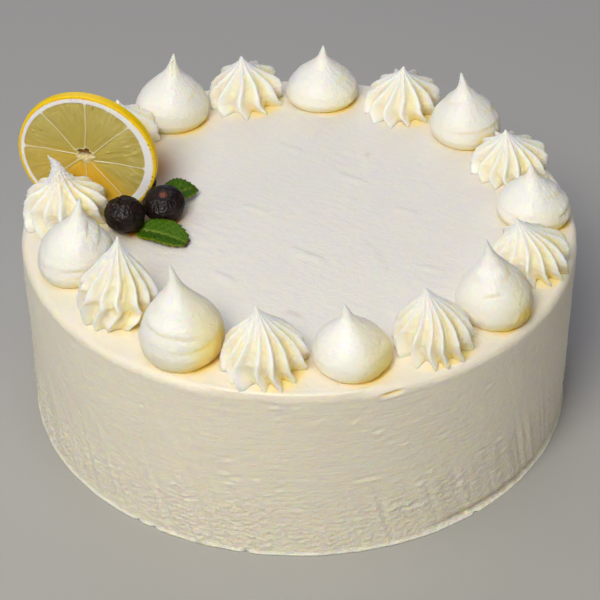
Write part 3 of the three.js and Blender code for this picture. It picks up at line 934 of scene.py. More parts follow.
def star_dollop(dollop, planes, centre, floor, settings, seed):
    """A dollop from a star nozzle: thin crests with broad valleys, toes kicked round at the foot."""
    ridges = dollop["ridges"]
    tiers = dollop.get("tiers", 0)
    ragged = dollop.get("ragged", 0)
    t = row_heights(DOLLOP_ROWS + MORE_ROWS * tiers)
    angle = full_turn(ridges * POINTS_PER_RIDGE)
    kick = dollop.get("kick", 12) * bell(t / 0.15) - 3 * bell((t - 0.32) / 0.16)
    turned = angle + np.radians(dollop["twist"] * t + kick)
    shift, ledge, seam = (tiers * f for f in two_turns(t, degrees_between(np.degrees(turned), 0)))
    ridge = (angle - np.radians(shift)) * ridges / (2 * np.pi)
    crest = star_crests(ridge, noise(ridge, 1.6 * t, ridges, seed), ridges, seed)

    depth = settings.ridge_depth * curve_through(RIDGE_GROWTH, t)
    depth = depth * (1 - 0.5 * tiers * smoothstep(-t, -0.3, -0.05))
    frill = dollop.get("frill", 0) * np.clip(np.cos(turned - FRILL_WAY), 0, 1) * bell((t - 0.5) / 0.17)
    profile = RAGGED_PROFILE if ragged else TWO_TURN_PROFILE if tiers else STAR_PROFILE
    radius = dollop["radius"] * curve_through(profile, t)
    radius = radius * (1 + 0.42 * frill) * (1 - depth * (1 + 0.5 * frill) * (1 - crest))
    radius = radius * (1 + 0.025 * noise(angle * 3 / np.pi, 2 * t, 6, seed + 2))
    room = smoothstep(radius, 1.0, 5.0)
    streak = noise(ridge * 6, 3 * t, 6 * ridges, seed + 3)
    ripple = noise(ridge * 2, 14 * t, 2 * ridges, seed + 4)
    grit = noise(ridge * 5, 40 * t, 5 * ridges, seed + 5)
    burrs = noise(ridge * 2, 34 * t, 2 * ridges, seed + 6)
    neck = smoothstep(t, 0.5, 0.65) * (1 - smoothstep(t, 0.9, 1))
    rough = 0.14 * streak + 0.26 * ripple + 0.08 * grit + ledge + ragged * 0.25 * burrs
    radius = radius + room * rough + ragged * 0.5 * burrs * neck
    rings, touch = dollop_rings(dollop, radius, turned, t, planes, centre, floor)

    # Painted glow: warm colour in the valleys, at the foot, where the dollop is pressed and along the seam,
    # most on the side away from the light.
    valley = (1 - np.clip(crest, 0, 1)) * smoothstep(1 - t, 0.05, 0.5)
    side = away_from_light(np.cos(turned), np.sin(turned))
    foot = np.exp(-t / 0.05) * (0.5 + 0.5 * valley) * (0.3 + 0.7 * side)
    glow = valley**1.5 * (0.22 + 0.26 * side) + 0.55 * foot + 0.7 * touch * side + 0.2 * seam
    return rings, np.clip(glow, 0, 1)


def fold(t, azimuth, marks):
    """Relief in mm of the folds in a plain dollop, a bulge over a sharp drop, and the glow in them."""
    relief = crease = 0
    for at, middle, half_span, depth, climb in marks:
        along = degrees_between(azimuth, middle) / half_span
        above = (t - at - climb * along) / FOLD_HEIGHT
        fade = 1 - smoothstep(np.abs(along), 0.45, 1)
        drop = bell((above + 0.35) / 0.55) + 0.5 * bell((above + 1.2) / 1.2)
        relief = relief + fade * depth * (0.55 * bell((above - 1.2) / 1.3) - 0.8 * drop)
        crease = crease + fade * bell((above + 0.3) / 0.5)
    return relief, crease


def plain_dollop(dollop, marks, slitted, planes, centre, floor, seed):
    """A dollop from a plain round nozzle: a smooth drop, drawn up into a thin tip."""
    t = row_heights(DOLLOP_ROWS)
    angle = full_turn(PLAIN_POINTS)
    radius = dollop["radius"] * curve_through(PLAIN_PROFILE, t)
    room = smoothstep(radius, 0.5, 6.0)
    lumps = noise(angle * 3 / np.pi, 3 * t, 6, seed)
    swirl = noise(angle * 2 / np.pi + 1.3 * t, 9 * t, 4, seed + 3)
    skin = layered(angle * 14 / np.pi + t * 6, 9 * t, 28, seed + 1)
    grit = noise(angle * 40 / np.pi, 26 * t, 80, seed + 2)
    streaks = noise(angle * 26 / np.pi + 2 * t, 7 * t, 52, seed + 4)
    rough_side = 0.5 + 0.5 * np.cos(angle - ROUGH_SIDE)
    relief, crease = fold(t, np.degrees(angle), marks)
    grain = 0.15 * skin + 0.07 * grit * (0.4 + rough_side) + 0.2 * streaks * rough_side
    radius = radius + room * (0.4 * lumps + 0.26 * swirl + grain + relief)
    if slitted:
        across = np.radians(degrees_between(np.degrees(angle), TIP_SLIT["azimuth"]))
        across = across * radius / TIP_SLIT["half_width"]
        along = smoothstep(t, TIP_SLIT["low"], TIP_SLIT["low"] + 0.06)
        along = along * (1 - smoothstep(t, TIP_SLIT["high"] - 0.04, TIP_SLIT["high"]))
        radius = radius - np.minimum(TIP_SLIT["depth"], 0.6 * radius) * along * bell(across)
        crease = crease + 2 * along * bell(across)
    rings, touch = dollop_rings(dollop, radius, angle, t, planes, centre, floor)

    # Painted glow: warm colour low on the side away from the light, at the foot, where the dollop is pressed,
    # and in its folds and slit.
    side = away_from_light(np.cos(angle), np.sin(angle))
    warmth = dollop.get("warmth", 0.5)
    glow = (warmth * np.exp(-t / (0.07 + 0.24 * warmth * side**2)) + 0.8 * touch) * side
    glow = glow + 0.25 * np.exp(-t / 0.15) + 0.7 * np.exp(-t / 0.035)
    glow = glow + (0.08 + 0.16 * side) * np.clip(crease, 0, 1)
    return rings, np.clip(glow, 0, 1)


def make_dollops(context, starred):
    """Makes every star dollop, or every plain one, each in the place of its node."""
    settings = context.scene.cake_cream
    floor = settings.height / MM + GAP
    kind = "star" if starred else "plain"
    finish = f"Whipped cream, piped through a {kind} nozzle"
    cream = cream_material(finish, settings.piped, settings, 0.4, 2.0)
    places = dollop_places()
    number = 0
    for i, dollop in enumerate(DOLLOPS):
        if bool(dollop["ridges"]) != starred:
            continue
        number += 1
        planes = planes_around(i, places)
        seed = 100 + 10 * i
        if starred:
            rings, glow = star_dollop(dollop, planes, places[i], floor, settings, seed)
        else:
            slitted = i == TIP_SLIT["dollop"]
            rings, glow = plain_dollop(dollop, FOLDS[i], slitted, planes, places[i], floor, seed)
        turn = full_turn(glow.shape[1])
        rough = 0.2 if starred else 0.4
        knobby = 0.32 + rough * smoothstep(np.cos(turn - ROUGH_SIDE), -0.3, 0.8)
        piece = ring_piece(f"{kind}_piping_{number}", rings, cream, glow=glow, knobby=knobby)
        place(piece, f"{kind}_dollop_{number}")


class CAKE_OT_star_dollops(bpy.types.Operator):
    """Pipes the dollops of the star nozzle"""

    bl_idname = "cake.star_dollops"
    bl_label = "Star dollops"

    def execute(self, context):
        make_dollops(context, True)
        return {"FINISHED"}


class CAKE_OT_plain_dollops(bpy.types.Operator):
    """Pipes the dollops of the plain nozzle"""

    bl_idname = "cake.plain_dollops"
    bl_label = "Plain dollops"

    def execute(self, context):
        make_dollops(context, False)
        return {"FINISHED"}


# ------------------------------------------------------------------ the lemon slice

LEMON_CORE = (-0.6, 0.9)
CORE_HALF = (3.4, 3.1)
# Each membrane runs from the core to the pith through these points of the face, +x right and +y up.
MEMBRANES = [
    ((-4.4, 2.6), (-9.8, 9.8), (-17.2, 18.4)),
    ((-0.5, 3.6), (0.4, 12.0), (0.8, 25.0)),
    ((2.4, 1.5), (9.2, 8.2), (19.4, 17.0)),
    ((3.0, -1.4), (11.5, -1.6), (25.0, -2.8)),
    ((2.0, -2.5), (7.0, -8.6), (16.6, -20.0)),
    ((-0.7, -2.6), (-0.6, -10.0), (-1.0, -25.0)),
    ((-3.6, -1.8), (-9.0, -6.4), (-19.0, -16.4)),
    ((-4.3, 1.0), (-12.0, 1.6), (-17.0, 2.2), (-26.0, 2.3)),
]
FLARED = MEMBRANES[-1]  # this one widens where it meets the pith
PITH_INNER = 24.05  # mean radius of the flesh; the pith is thicker on the right than on the left
PITH_UNEVEN = 0.95
PEEL_THICK = 1.1
EDGE_ROUNDING = 0.35
# Drops of juice that stand on the flesh, by their place on the face in mm.
DROPS = [
    (-17.5, 11.0), (-19.0, 7.4), (-6.1, 21.3), (3.3, 22.7), (9.5, 21.2), (16.6, 6.5), (8.8, 3.3),
    (15.8, 2.6), (17.7, -6.2), (-14.0, -0.9), (-20.5, 9.6), (12.4, 18.8), (19.0, 3.9), (-3.5, 19.0),
]
SLICE_COLUMNS = 480
FACE_ROWS = 88
PEEL_ROWS = 12
BACK_ROWS = 34


def juice_drops(x, y):
    """Relief in mm of the drops of juice, each drawn out along the segment it stands on."""
    relief = 0
    for dx, dy in DROPS:
        reach = math.hypot(dx, dy)
        along = ((x - dx) * dx + (y - dy) * dy) / reach
        aside = ((y - dy) * dx - (x - dx) * dy) / reach
        relief = relief + 0.5 * bell(along / 0.9) * bell(aside / 0.42)
    return relief


def cut_face(x, y, seed):
    """Relief in mm and paints of the slice's cut face at points of its plane."""
    angle, reach = np.arctan2(y, x), np.hypot(x, y)
    edge = PITH_INNER - PITH_UNEVEN * np.cos(angle) - reach
    wall = np.inf
    for path in MEMBRANES:
        gap, share = distance_to_path(x, y, path)
        half_width = 0.1 + 0.5 * smoothstep(share, 0.82, 1.0) * (path is FLARED)
        wall = np.minimum(wall, gap - half_width)
    cx, cy = x - LEMON_CORE[0], y - LEMON_CORE[1]
    from_core = np.hypot(cx, cy)
    core_angle = np.arctan2(cy, cx)
    core_turn = core_angle / (2 * np.pi)
    jag = 0.22 * noise(core_turn * 20, 0, 20, seed) + 0.12 * np.cos(5 * core_angle + 0.6)
    inside = np.clip(1 + jag - np.hypot(cx / CORE_HALF[0], cy / CORE_HALF[1]), -1, 1) * 2.6
    inset = -np.log(np.exp(-1.6 * edge) + np.exp(-2.6 * wall) + np.exp(2.6 * inside)) / 1.6
    flesh = smoothstep(inset, -0.1, 0.3)

    # The flesh: juice sacs that run out from the core, finer threads on them, and tears near the pith.
    bend = 0.25 * noise(core_turn * 8, from_core / 12, 8, seed + 1)
    sacs = 0.5 - np.abs(noise(core_turn * 56 + bend, from_core / 9, 56, seed + 2))
    threads = 0.5 - np.abs(noise(core_turn * 128 + bend, from_core / 4.0, 128, seed + 3))
    outer = smoothstep(from_core, 9, 20)
    tears = smoothstep(noise(core_turn * 40, from_core / 2.2, 40, seed + 4), 0.45, 0.9)
    body = 0.14 * sacs + 0.08 * threads * outer - 0.22 * tears * outer
    relief = flesh * (-0.35 + 0.25 * smoothstep(inset, 0.3, 3.5) + body + juice_drops(x, y))

    # The core: a hollow above, lumps of white fibre below. Then the fibres of the pith.
    hollow = smoothstep(inside, 0.0, 0.7)
    lumps = noise(cx / 0.9, cy / 0.8, UNREPEATED, seed + 5)
    upper = smoothstep(cy, -0.6, 0.7)
    relief = relief + hollow * (-1.3 * upper + (1 - upper) * (0.1 + 0.5 * lumps))
    fibre = noise(angle * 60 / np.pi, reach / 1.4, 120, seed + 6)
    relief = relief + (1 - flesh) * (1 - hollow) * 0.05 * fibre

    # The flesh is painted deeper gold where cream stands behind it, for the cream's light coming through it: at
    # the bottom and a little at the left.
    azimuth = np.degrees(core_angle)
    bottom = 1 - smoothstep(np.abs(degrees_between(azimuth, -88)), 34, 62)
    left = 1 - smoothstep(np.abs(degrees_between(azimuth, -160)), 20, 45)
    gold = np.maximum(bottom * smoothstep(from_core, 1, 5), 0.35 * left)
    # Painted light: the flesh is painted paler toward the rim and toward the right.
    light = 0.2 + 0.3 * outer + 0.5 * smoothstep(x, 2, 20)
    return relief, {
        "flesh": flesh * (1 - hollow),
        # painted shade in the hollow of the core
        "hollow": hollow * upper,
        "speck": hollow * (1 - upper) * smoothstep(lumps, 0.0, 0.45),
        "gold": gold,
        "pale": (0.3 + 0.7 * smoothstep(sacs, 0.0, 0.6)) * light * (1 - 0.85 * gold),
        "membrane": (1 - flesh) * smoothstep(edge, 0.1, 1.2),
    }


def lemon_mesh():
    """Rows of points in mm and paints of the slice, standing in its place in the cream."""
    column = full_turn(SLICE_COLUMNS)
    oval = LEMON["radius"] * (1 + 0.006 * np.cos(2 * column + 0.6) + 0.004 * np.cos(3 * column))
    face_reach = oval - EDGE_ROUNDING

    def face(share, seed):
        x = LEMON_CORE[0] * (1 - share) + share * face_reach * np.cos(column)
        y = LEMON_CORE[1] * (1 - share) + share * face_reach * np.sin(column)
        relief, paints = cut_face(x, y, seed)
        reach = np.hypot(x, y)
        paints["peel"] = smoothstep(reach, oval - PEEL_THICK - 0.35, oval - PEEL_THICK + 0.25)
        return x, y, relief, reach, paints

    # The rows run from the core of the front face over the peel to the core of the back one.
    x, y, relief, reach, paints = face(np.linspace(0.01, 1, FACE_ROWS)[:, None], 301)
    front = points(x, y, relief)
    rounding = np.radians([30, 60])[:, None]
    lip_reach = face_reach + EDGE_ROUNDING * np.sin(rounding)
    lip_depth = EDGE_ROUNDING * (np.cos(rounding) - 1)
    lip = points(lip_reach * np.cos(column), lip_reach * np.sin(column), lip_depth)
    depth = -np.linspace(EDGE_ROUNDING, LEMON["thickness"] - EDGE_ROUNDING, PEEL_ROWS)[:, None]
    glands = noise(column * 85 / np.pi, depth / 0.9, 170, 311)
    swell = 0.12 * noise(column * 12 / np.pi, depth / 7, 24, 312)
    out = oval + swell - 0.12 * smoothstep(glands, 0.1, 0.8)
    peel = points(out * np.cos(column), out * np.sin(column), depth)
    back_lip = lip[::-1] * [1, 1, -1] + [0, 0, -LEMON["thickness"]]
    back_x, back_y, back_relief, _, back_paints = face(np.linspace(1, 0.01, BACK_ROWS)[:, None], 331)
    back = points(back_x, back_y, -LEMON["thickness"] - back_relief)
    rings = np.concatenate([front, lip, peel, back_lip, back])

    # Dark dots where the knife went through the oil glands, most of them at the right.
    dots = smoothstep(noise(column * 80 / np.pi, 0, 160, 313), 0.1, 0.6)
    at_right = smoothstep(np.cos(column + 0.5) + noise(column * 9 / np.pi, 0, 18, 314), 0, 1)
    paints["gland"] = bell((reach - oval + 0.95) / 0.34) * dots * (0.2 + 0.8 * at_right)
    back_paints["gland"] = 0 * back_x
    middle = np.ones((2 * len(lip) + PEEL_ROWS, SLICE_COLUMNS))
    for key, values in paints.items():
        paints[key] = np.concatenate([values, middle * (key == "peel"), back_paints[key]])[::-1]

    turn = math.radians(LEMON["turn"])
    right = np.array([math.cos(turn), math.sin(turn), 0])
    facing = np.array([math.sin(turn), -math.cos(turn), 0])
    up = np.array([0, 0, 1])
    centre_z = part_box("lemon_slice")[1].z / MM - LEMON["radius"]
    centre = np.array([LEMON["x"], LEMON["y"], centre_z])
    rings = centre + rings[..., :1] * right + rings[..., 1:2] * up + rings[..., 2:] * facing
    return rings[::-1], paints


def lemon_material(settings):
    """Lemon cut with a wet knife: glossy see-through flesh, dry white pith and waxed peel.

    To the eye the flesh is deep and olive gold with bright glints, the pith flat white round it and the
    peel a band of full yellow with the fine dimples of its oil glands, a millimetre apart.
    """
    material, tree, shader = new_material(
        "Lemon, cut with a knife",
        {
            "IOR": 1.4,
            "Coat Roughness": 0.06,
            "Coat IOR": 1.38,
            "Subsurface Weight": 0.8,
            "Subsurface Radius": (1.0, 0.7, 0.15),
            "Subsurface Scale": 1.6 * MM,
        },
    )
    where = add(tree, "ShaderNodeTexCoord").outputs["Object"]
    clouds = add(tree, "ShaderNodeTexNoise", {"Vector": where, "Scale": 1 / (5 * MM), "Detail": 3.0})
    # The gold over the flesh and its paler right side are painted light; the hollow's dark colour is painted
    # shade.
    flesh = laid_over(tree, settings.flesh, [("gold", settings.painted_backlit_flesh)])
    light = laid_over(tree, flesh, [("pale", settings.pale_flesh)])
    cloudy = laid_over(tree, flesh, [(clouds.outputs["Fac"], light)])
    coats = [
        ("membrane", settings.membrane),
        ("flesh", cloudy),
        ("hollow", settings.hollow),
        ("speck", settings.core),
        ("peel", settings.peel),
        ("gland", settings.oil_glands),
    ]
    tree.links.new(laid_over(tree, settings.pith, coats), shader.inputs["Base Color"])
    wet = add(tree, "ShaderNodeAttribute", attribute_name="flesh").outputs["Fac"]
    rough = add(tree, "ShaderNodeMapRange", {"Value": wet, "To Min": 0.45, "To Max": 0.17})
    tree.links.new(rough.outputs["Result"], shader.inputs["Roughness"])
    tree.links.new(wet, shader.inputs["Coat Weight"])
    pattern = {"Vector": where, "Scale": 1 / (1.0 * MM)}
    glands = add(tree, "ShaderNodeTexVoronoi", pattern, feature="SMOOTH_F1")
    peel = add(tree, "ShaderNodeAttribute", attribute_name="peel").outputs["Fac"]
    only_peel = add(tree, "ShaderNodeMath", {0: peel, 1: 0.5}, operation="MULTIPLY")
    dimples = {
        "Height": glands.outputs["Distance"],
        "Strength": only_peel.outputs["Value"],
        "Distance": 0.3 * MM,
    }
    tree.links.new(add(tree, "ShaderNodeBump", dimples).outputs["Normal"], shader.inputs["Normal"])
    return material


class CAKE_OT_lemon_slice(bpy.types.Operator):
    """Makes the lemon slice"""

    bl_idname = "cake.lemon_slice"
    bl_label = "Lemon slice"

    def execute(self, context):
        rings, paint = lemon_mesh()
        material = lemon_material(context.scene.cake_lemon)
        place(ring_piece("cut_lemon", rings, material, **paint), "lemon_slice")
        return {"FINISHED"}


# ------------------------------------------------------------------ berries

BERRY_COLUMNS = 132
BERRY_ROWS = 88
CROWN = dict(radius=2.4, depth=1.1)
SCARRED = 1  # the place in BERRIES of the one whose crown was pulled off


def berry_rings(berry, scar, seed):
    """Rows of points of one berry, and its paints. scar is 1 on the berry with a raw scar, 0 on others."""
    polar = np.linspace(0.01, np.pi - 0.01, BERRY_ROWS)[::-1, None]
    column = full_turn(BERRY_COLUMNS)
    arc = polar * berry["radius"]  # distance down from the crown over the skin
    turn = column / (2 * np.pi)
    lumps = 0.5 * noise(turn * 6, arc / 4.2, 6, seed)
    ribs = bell((arc - 4.2) / 2.4) * noise(turn * 20, arc / 5, 20, seed + 1)
    dents = smoothstep(noise(turn * 11, arc / 3.2, 11, seed + 4), 0.25, 0.9)
    creased = 1 - np.abs(noise(turn * 18, arc / 2.3, 18, seed + 6)) * 2.4
    wrinkles = np.clip(creased, 0, 1) ** 2 * smoothstep(arc, 1.5, 4)
    fine = 0.07 * noise(turn * 48, arc / 0.9, 48, seed + 2)
    crater = CROWN["depth"] * plateau(arc / CROWN["radius"])
    lobes = 0.5 + 0.5 * np.cos(5 * column + 0.8)
    ring = bell((arc - CROWN["radius"] - 0.25) / 0.55) * (0.25 + 0.4 * lobes) * (1 - scar)
    nub = scar * 0.7 * plateau(arc / 1.5) * (1 + 0.5 * noise(turn * 6, arc / 0.8, 6, seed + 3))
    grow = lumps * smoothstep(arc, 1, 5) + 0.3 * ribs * (1 - 0.7 * scar) + fine - crater + ring + nub
    grow = grow - 0.5 * dents * smoothstep(arc, 3, 6) - 0.28 * wrinkles
    x = (berry["radius"] + grow) * np.sin(polar) * np.cos(column)
    y = (berry["radius"] + grow) * np.sin(polar) * np.sin(column)
    z = (berry["half_height"] + grow) * np.cos(polar)
    tilt = math.radians(berry["tilt"])
    y, z = y * math.cos(tilt) - z * math.sin(tilt), y * math.sin(tilt) + z * math.cos(tilt)
    spot = scar * plateau(arc / 1.6) * (0.75 + 0.5 * noise(turn * 9, arc / 0.7, 9, seed + 5))
    return points(x, y, z), {"scar": np.clip(spot, 0, 1), "foot": smoothstep(arc, 11, 20)}


def berry_material(settings):
    """Ripe berry skin: dark, taut and waxy, with small soft glints.

    To the eye it is nearly black with a thin bloom on top, browner toward the foot, with a raw pink
    scar where the flower dropped off. Its grain is drawn at 0.45 mm, coarser than the skin's own, so
    that it shows.
    """
    finish = {"Roughness": 0.5, "IOR": 1.3, "Coat Weight": 0.14, "Coat Roughness": 0.14}
    material, tree, shader = new_material("Berry skin, ripe and washed", finish)
    where = add(tree, "ShaderNodeTexCoord").outputs["Object"]
    mottle = add(tree, "ShaderNodeTexNoise", {"Vector": where, "Scale": 1 / (2.6 * MM), "Detail": 3.0})
    bounds = {"Value": mottle.outputs["Fac"], "From Min": 0.42, "From Max": 0.66}
    patches = add(tree, "ShaderNodeMapRange", bounds)
    coats = [(patches.outputs["Result"], settings.bloom), ("foot", settings.foot), ("scar", settings.scar)]
    tree.links.new(laid_over(tree, settings.skin, coats), shader.inputs["Base Color"])
    grain = add(tree, "ShaderNodeTexNoise", {"Vector": where, "Scale": 1 / (0.45 * MM), "Detail": 2.0})
    pores = {"Height": grain.outputs["Fac"], "Strength": 0.35, "Distance": 0.12 * MM}
    tree.links.new(add(tree, "ShaderNodeBump", pores).outputs["Normal"], shader.inputs["Normal"])
    return material


class CAKE_OT_berries(bpy.types.Operator):
    """Makes the berries"""

    bl_idname = "cake.berries"
    bl_label = "Berries"

    def execute(self, context):
        material = berry_material(context.scene.cake_berries)
        floor = context.scene.cake_cream.height / MM
        for i, berry in enumerate(BERRIES):
            rings, paint = berry_rings(berry, float(i == SCARRED), 401 + 10 * i)
            rings = rings + np.array([berry["x"], berry["y"], floor + berry["half_height"]])
            piece = ring_piece(f"fresh_berry_{i + 1}", rings, material, **paint)
            place(piece, f"berry_{i + 1}")
        return {"FINISHED"}


# ------------------------------------------------------------------ mint leaves

LEAF_ROWS = 150
LEAF_COLUMNS = 49
LEAF_THICKNESS = 0.4
LEAF_CUP = 0.16  # how steeply the halves of the blade rise from the midrib
LEAF_TEETH = 9
TOOTH = 0.6  # how far a tooth stands out, in mm
VEINS = 6.5  # side veins on each half of the blade
NARROWER = 0.16  # by how much the near half of the blade is narrower


def leaf_surface(leaf, u, v, seed):
    """Points and paints of a leaf's upper side: u runs from stalk to tip, v from edge to edge."""
    length = leaf["length"]
    outline = np.clip(np.sin(np.pi * np.minimum(1, u**0.8 * 0.97 + 0.015)), 0, 1) ** 0.45
    saw = (u * LEAF_TEETH * (1 + 0.15 * np.sign(v)) + 0.3) % 1
    tooth = TOOTH * (saw - 0.25) * smoothstep(u, 0.06, 0.2) * smoothstep(np.abs(v), 0.8, 1.0)
    across = v * (1 - NARROWER * (v < 0)) * (leaf["half_width"] * outline + tooth)
    low, middle, high = leaf["rise"]
    knee = 2 * middle - (low + high) / 2
    spine = (1 - u) ** 2 * low + 2 * u * (1 - u) * knee + u * u * high
    branch = (u - 0.24 * np.abs(v) ** 0.9) * VEINS
    phase = branch % 1
    near_vein = bell(np.minimum(phase, 1 - phase) / 0.1) * smoothstep(1 - np.abs(v), 0, 0.25)
    midrib = bell(across / 0.42)
    quilt = np.abs(np.sin(np.pi * branch)) ** 0.7
    quilt = quilt * np.abs(np.sin(np.pi * (2.6 * np.abs(v) + 0.4 * u))) ** 0.6
    cells = np.abs(noise(u * length / 1.9, across / 1.7, UNREPEATED, seed))
    lift = (0.3 * quilt + 0.8 * cells - 0.3 * near_vein) * smoothstep(1 - np.abs(v), 0.0, 0.3)
    lift = lift * smoothstep(u, 0.0, 0.1) - 0.35 * midrib
    wave = 0.35 * np.sin(9 * u + 2 * np.sign(v)) * np.abs(v) ** 3
    roll = math.radians(leaf["roll"])
    z = spine + across * math.sin(roll) + np.abs(across) * LEAF_CUP + lift + wave
    x = length * u + tooth * 0.6
    y = across * math.cos(roll)
    heading = math.radians(leaf["heading"])
    cos, sin = math.cos(heading), math.sin(heading)
    upper = points(x * cos - y * sin + leaf["x"], x * sin + y * cos + leaf["y"], z)
    tips = smoothstep(np.abs(v), 0.86, 1.0) * smoothstep(saw, 0.35, 0.95) + smoothstep(u, 0.955, 1.0)
    return upper, {
        "vein": np.clip(0.9 * midrib * (1 - 0.75 * u) + 0.1 * near_vein, 0, 1),
        "browned": np.clip(tips, 0, 1) * smoothstep(u, 0.2, 0.5),
        "shaded": smoothstep(-v, -0.05, 0.2) * (1 - smoothstep(-v, 0.75, 1.0)),
        "edge": smoothstep(-v, 0.78, 1.0),
    }


def leaf_mesh(leaf, floor, seed):
    """Rows of points round a thin closed leaf, from stalk to tip, and its paints."""
    u = np.linspace(0, 1, LEAF_ROWS)[:, None]
    v = np.linspace(-1, 1, LEAF_COLUMNS)[None, :]
    v = np.sign(v) * (1 - (1 - np.abs(v)) ** 1.25)
    over, paint = leaf_surface(leaf, u, v, seed)
    over[..., 2] = np.maximum(over[..., 2], 0.15) + floor
    under = over - np.array([0, 0, LEAF_THICKNESS]) * (1 - 0.7 * np.abs(v[..., None]) ** 4)
    rings = np.concatenate([over, under[:, ::-1]], axis=1)
    return rings, {key: np.concatenate([half, half[:, ::-1]], axis=1) for key, half in paint.items()}


def mint_material(settings, depth):
    """A fresh mint leaf: quilted, satin, with light coming through its blade.

    To the eye it is full green with a pale midrib, browned teeth and a yellower edge. Its short fuzz is
    drawn at 0.5 mm so that it shows. depth is how far the blade's blotches darken it.
    """
    material, tree, shader = new_material(
        "Mint leaf, fresh",
        {
            "Roughness": 0.55,
            "IOR": 1.33,
            "Specular IOR Level": 0.35,
            "Subsurface Weight": 0.25,
            "Subsurface Radius": (0.5, 1.0, 0.15),
            "Subsurface Scale": 0.8 * MM,
        },
    )
    where = add(tree, "ShaderNodeTexCoord").outputs["Object"]
    mottle = add(tree, "ShaderNodeTexNoise", {"Vector": where, "Scale": 1 / (1.6 * MM), "Detail": 3.0})
    blotches = add(tree, "ShaderNodeMath", {0: mottle.outputs["Fac"], 1: depth}, operation="MULTIPLY")
    coats = [
        ("shaded", settings.shaded_blade),
        (blotches.outputs["Value"], settings.shaded_blade),
        ("edge", settings.edge),
        ("vein", settings.vein),
        ("browned", settings.teeth),
    ]
    tree.links.new(laid_over(tree, settings.blade, coats), shader.inputs["Base Color"])
    grain = add(tree, "ShaderNodeTexNoise", {"Vector": where, "Scale": 1 / (0.5 * MM), "Detail": 2.0})
    fuzz = {"Height": grain.outputs["Fac"], "Strength": 0.4, "Distance": 0.15 * MM}
    tree.links.new(add(tree, "ShaderNodeBump", fuzz).outputs["Normal"], shader.inputs["Normal"])
    return material


class CAKE_OT_mint_leaves(bpy.types.Operator):
    """Makes the mint leaves"""

    bl_idname = "cake.mint_leaves"
    bl_label = "Mint leaves"

    def execute(self, context):
        floor = context.scene.cake_cream.height / MM
        for i, leaf in enumerate(LEAVES):
            material = mint_material(context.scene.cake_mint, 0.5 + 0.45 * i)
            rings, paint = leaf_mesh(leaf, floor, 501 + 10 * i)
            piece = ring_piece(f"fresh_mint_{i + 1}", rings, material, **paint)
            place(piece, f"mint_leaf_{i + 1}")
        return {"FINISHED"}


# ------------------------------------------------------------------ stage

CAMERA_PLACE = (0, -0.64422, 0.52208)  # metres
CAMERA_DOWN = 36.97  # degrees below the horizontal
CAMERA_ROLL = -0.226  # degrees
LENS = 122.37  # mm, as is the sensor's width
SENSOR = 36.0

# Softboxes: azimuth and elevation in degrees, distance and width in metres, and watts.
LIGHTS = {
    "key": (-113, 50, 1.6, 0.7, 16.4),
    "window": (96, 36, 2.2, 1.9, 12.0),
    "overhead": (-90, 82, 1.9, 1.3, 6.8),
    "left_fill": (-172, 24, 1.8, 1.0, 3.6),
    "right_fill": (-50, 20, 1.8, 1.0, 3.2),
}


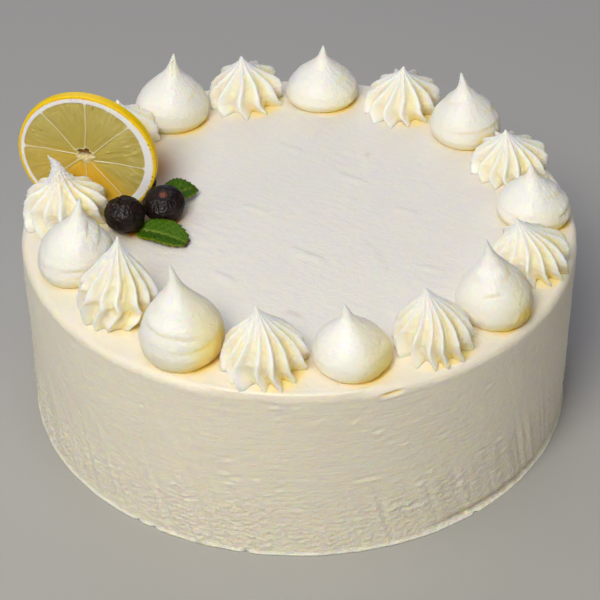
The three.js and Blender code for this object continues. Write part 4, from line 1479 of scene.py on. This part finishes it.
class CAKE_OT_stage(bpy.types.Operator):
    """Makes the floor, the lights and the camera"""

    bl_idname = "cake.stage"
    bl_label = "Stage"

    def execute(self, context):
        scene = context.scene
        settings = scene.cake_stage
        scene.view_settings.view_transform = "Standard"
        half = settings.floor_half
        corners = [(-half, -half, 0), (half, -half, 0), (half, half, 0), (-half, half, 0)]
        mesh = bpy.data.meshes.new("floor")
        mesh.from_pydata(corners, [], [[0, 1, 2, 3]])
        # A flat floor under rolled matt paint: to the eye an even pale grey without gloss.
        finish = {"Base Color": (*settings.floor, 1), "Roughness": 0.8}
        mesh.materials.append(new_material("Painted board, matt", finish)[0])
        floor = bpy.data.objects.new("floor", mesh)
        scene.collection.objects.link(floor)

        world = bpy.data.worlds.new("studio")
        world.use_nodes = True
        background = world.node_tree.nodes["Background"]
        background.inputs["Color"].default_value = (*settings.room, 1)
        background.inputs["Strength"].default_value = 0.08
        scene.world = world

        for name, (azimuth, elevation, distance, width, watts) in LIGHTS.items():
            light = bpy.data.lights.new(name, "AREA")
            light.shape = "DISK"
            light.size = width
            light.energy = watts
            light.color = getattr(settings, name)
            lamp = bpy.data.objects.new(name, light)
            a, e = math.radians(azimuth), math.radians(elevation)
            lamp.location = (
                distance * math.cos(e) * math.cos(a),
                distance * math.cos(e) * math.sin(a),
                distance * math.sin(e),
            )
            lamp.rotation_euler = (math.pi / 2 - e, 0, a + math.pi / 2)
            scene.collection.objects.link(lamp)

        camera = bpy.data.cameras.new("camera")
        camera.lens = LENS
        camera.sensor_width = SENSOR
        eye = bpy.data.objects.new("camera", camera)
        eye.location = CAMERA_PLACE
        tilt = math.radians(90 - CAMERA_DOWN)
        eye.rotation_euler = (tilt, 0, 0)
        eye.rotation_euler.rotate_axis("Z", math.radians(CAMERA_ROLL))
        scene.collection.objects.link(eye)
        scene.camera = eye
        return {"FINISHED"}


# ------------------------------------------------------------------ the add-on


class CAKE_PT_panel(bpy.types.Panel):
    """Lists the steps that dress the cake"""

    bl_label = "Chiffon cake"
    bl_idname = "CAKE_PT_panel"
    bl_space_type = "VIEW_3D"
    bl_region_type = "UI"
    bl_category = "Cake"

    def draw(self, context):
        for step in OPERATORS:
            self.layout.operator(step.bl_idname)
        for key, group in SETTINGS.items():
            for name in group.__annotations__:
                self.layout.prop(getattr(context.scene, key), name)


OPERATORS = (
    CAKE_OT_stage,
    CAKE_OT_frosted_cake,
    CAKE_OT_star_dollops,
    CAKE_OT_plain_dollops,
    CAKE_OT_lemon_slice,
    CAKE_OT_berries,
    CAKE_OT_mint_leaves,
)
SETTINGS = {
    "cake_stage": CAKE_PG_stage,
    "cake_cream": CAKE_PG_cream,
    "cake_lemon": CAKE_PG_lemon,
    "cake_berries": CAKE_PG_berries,
    "cake_mint": CAKE_PG_mint,
}
CLASSES = (*SETTINGS.values(), *OPERATORS, CAKE_PT_panel)


def register():
    for kind in CLASSES:
        bpy.utils.register_class(kind)
    for key, group in SETTINGS.items():
        setattr(bpy.types.Scene, key, PointerProperty(type=group))


def unregister():
    for key in SETTINGS:
        delattr(bpy.types.Scene, key)
    for kind in reversed(CLASSES):
        bpy.utils.unregister_class(kind)


def main():
    """Dresses the cake."""
    register()
    for step in OPERATORS:
        group, name = step.bl_idname.split(".")
        getattr(getattr(bpy.ops, group), name)()


if __name__ == "__main__":
    main()
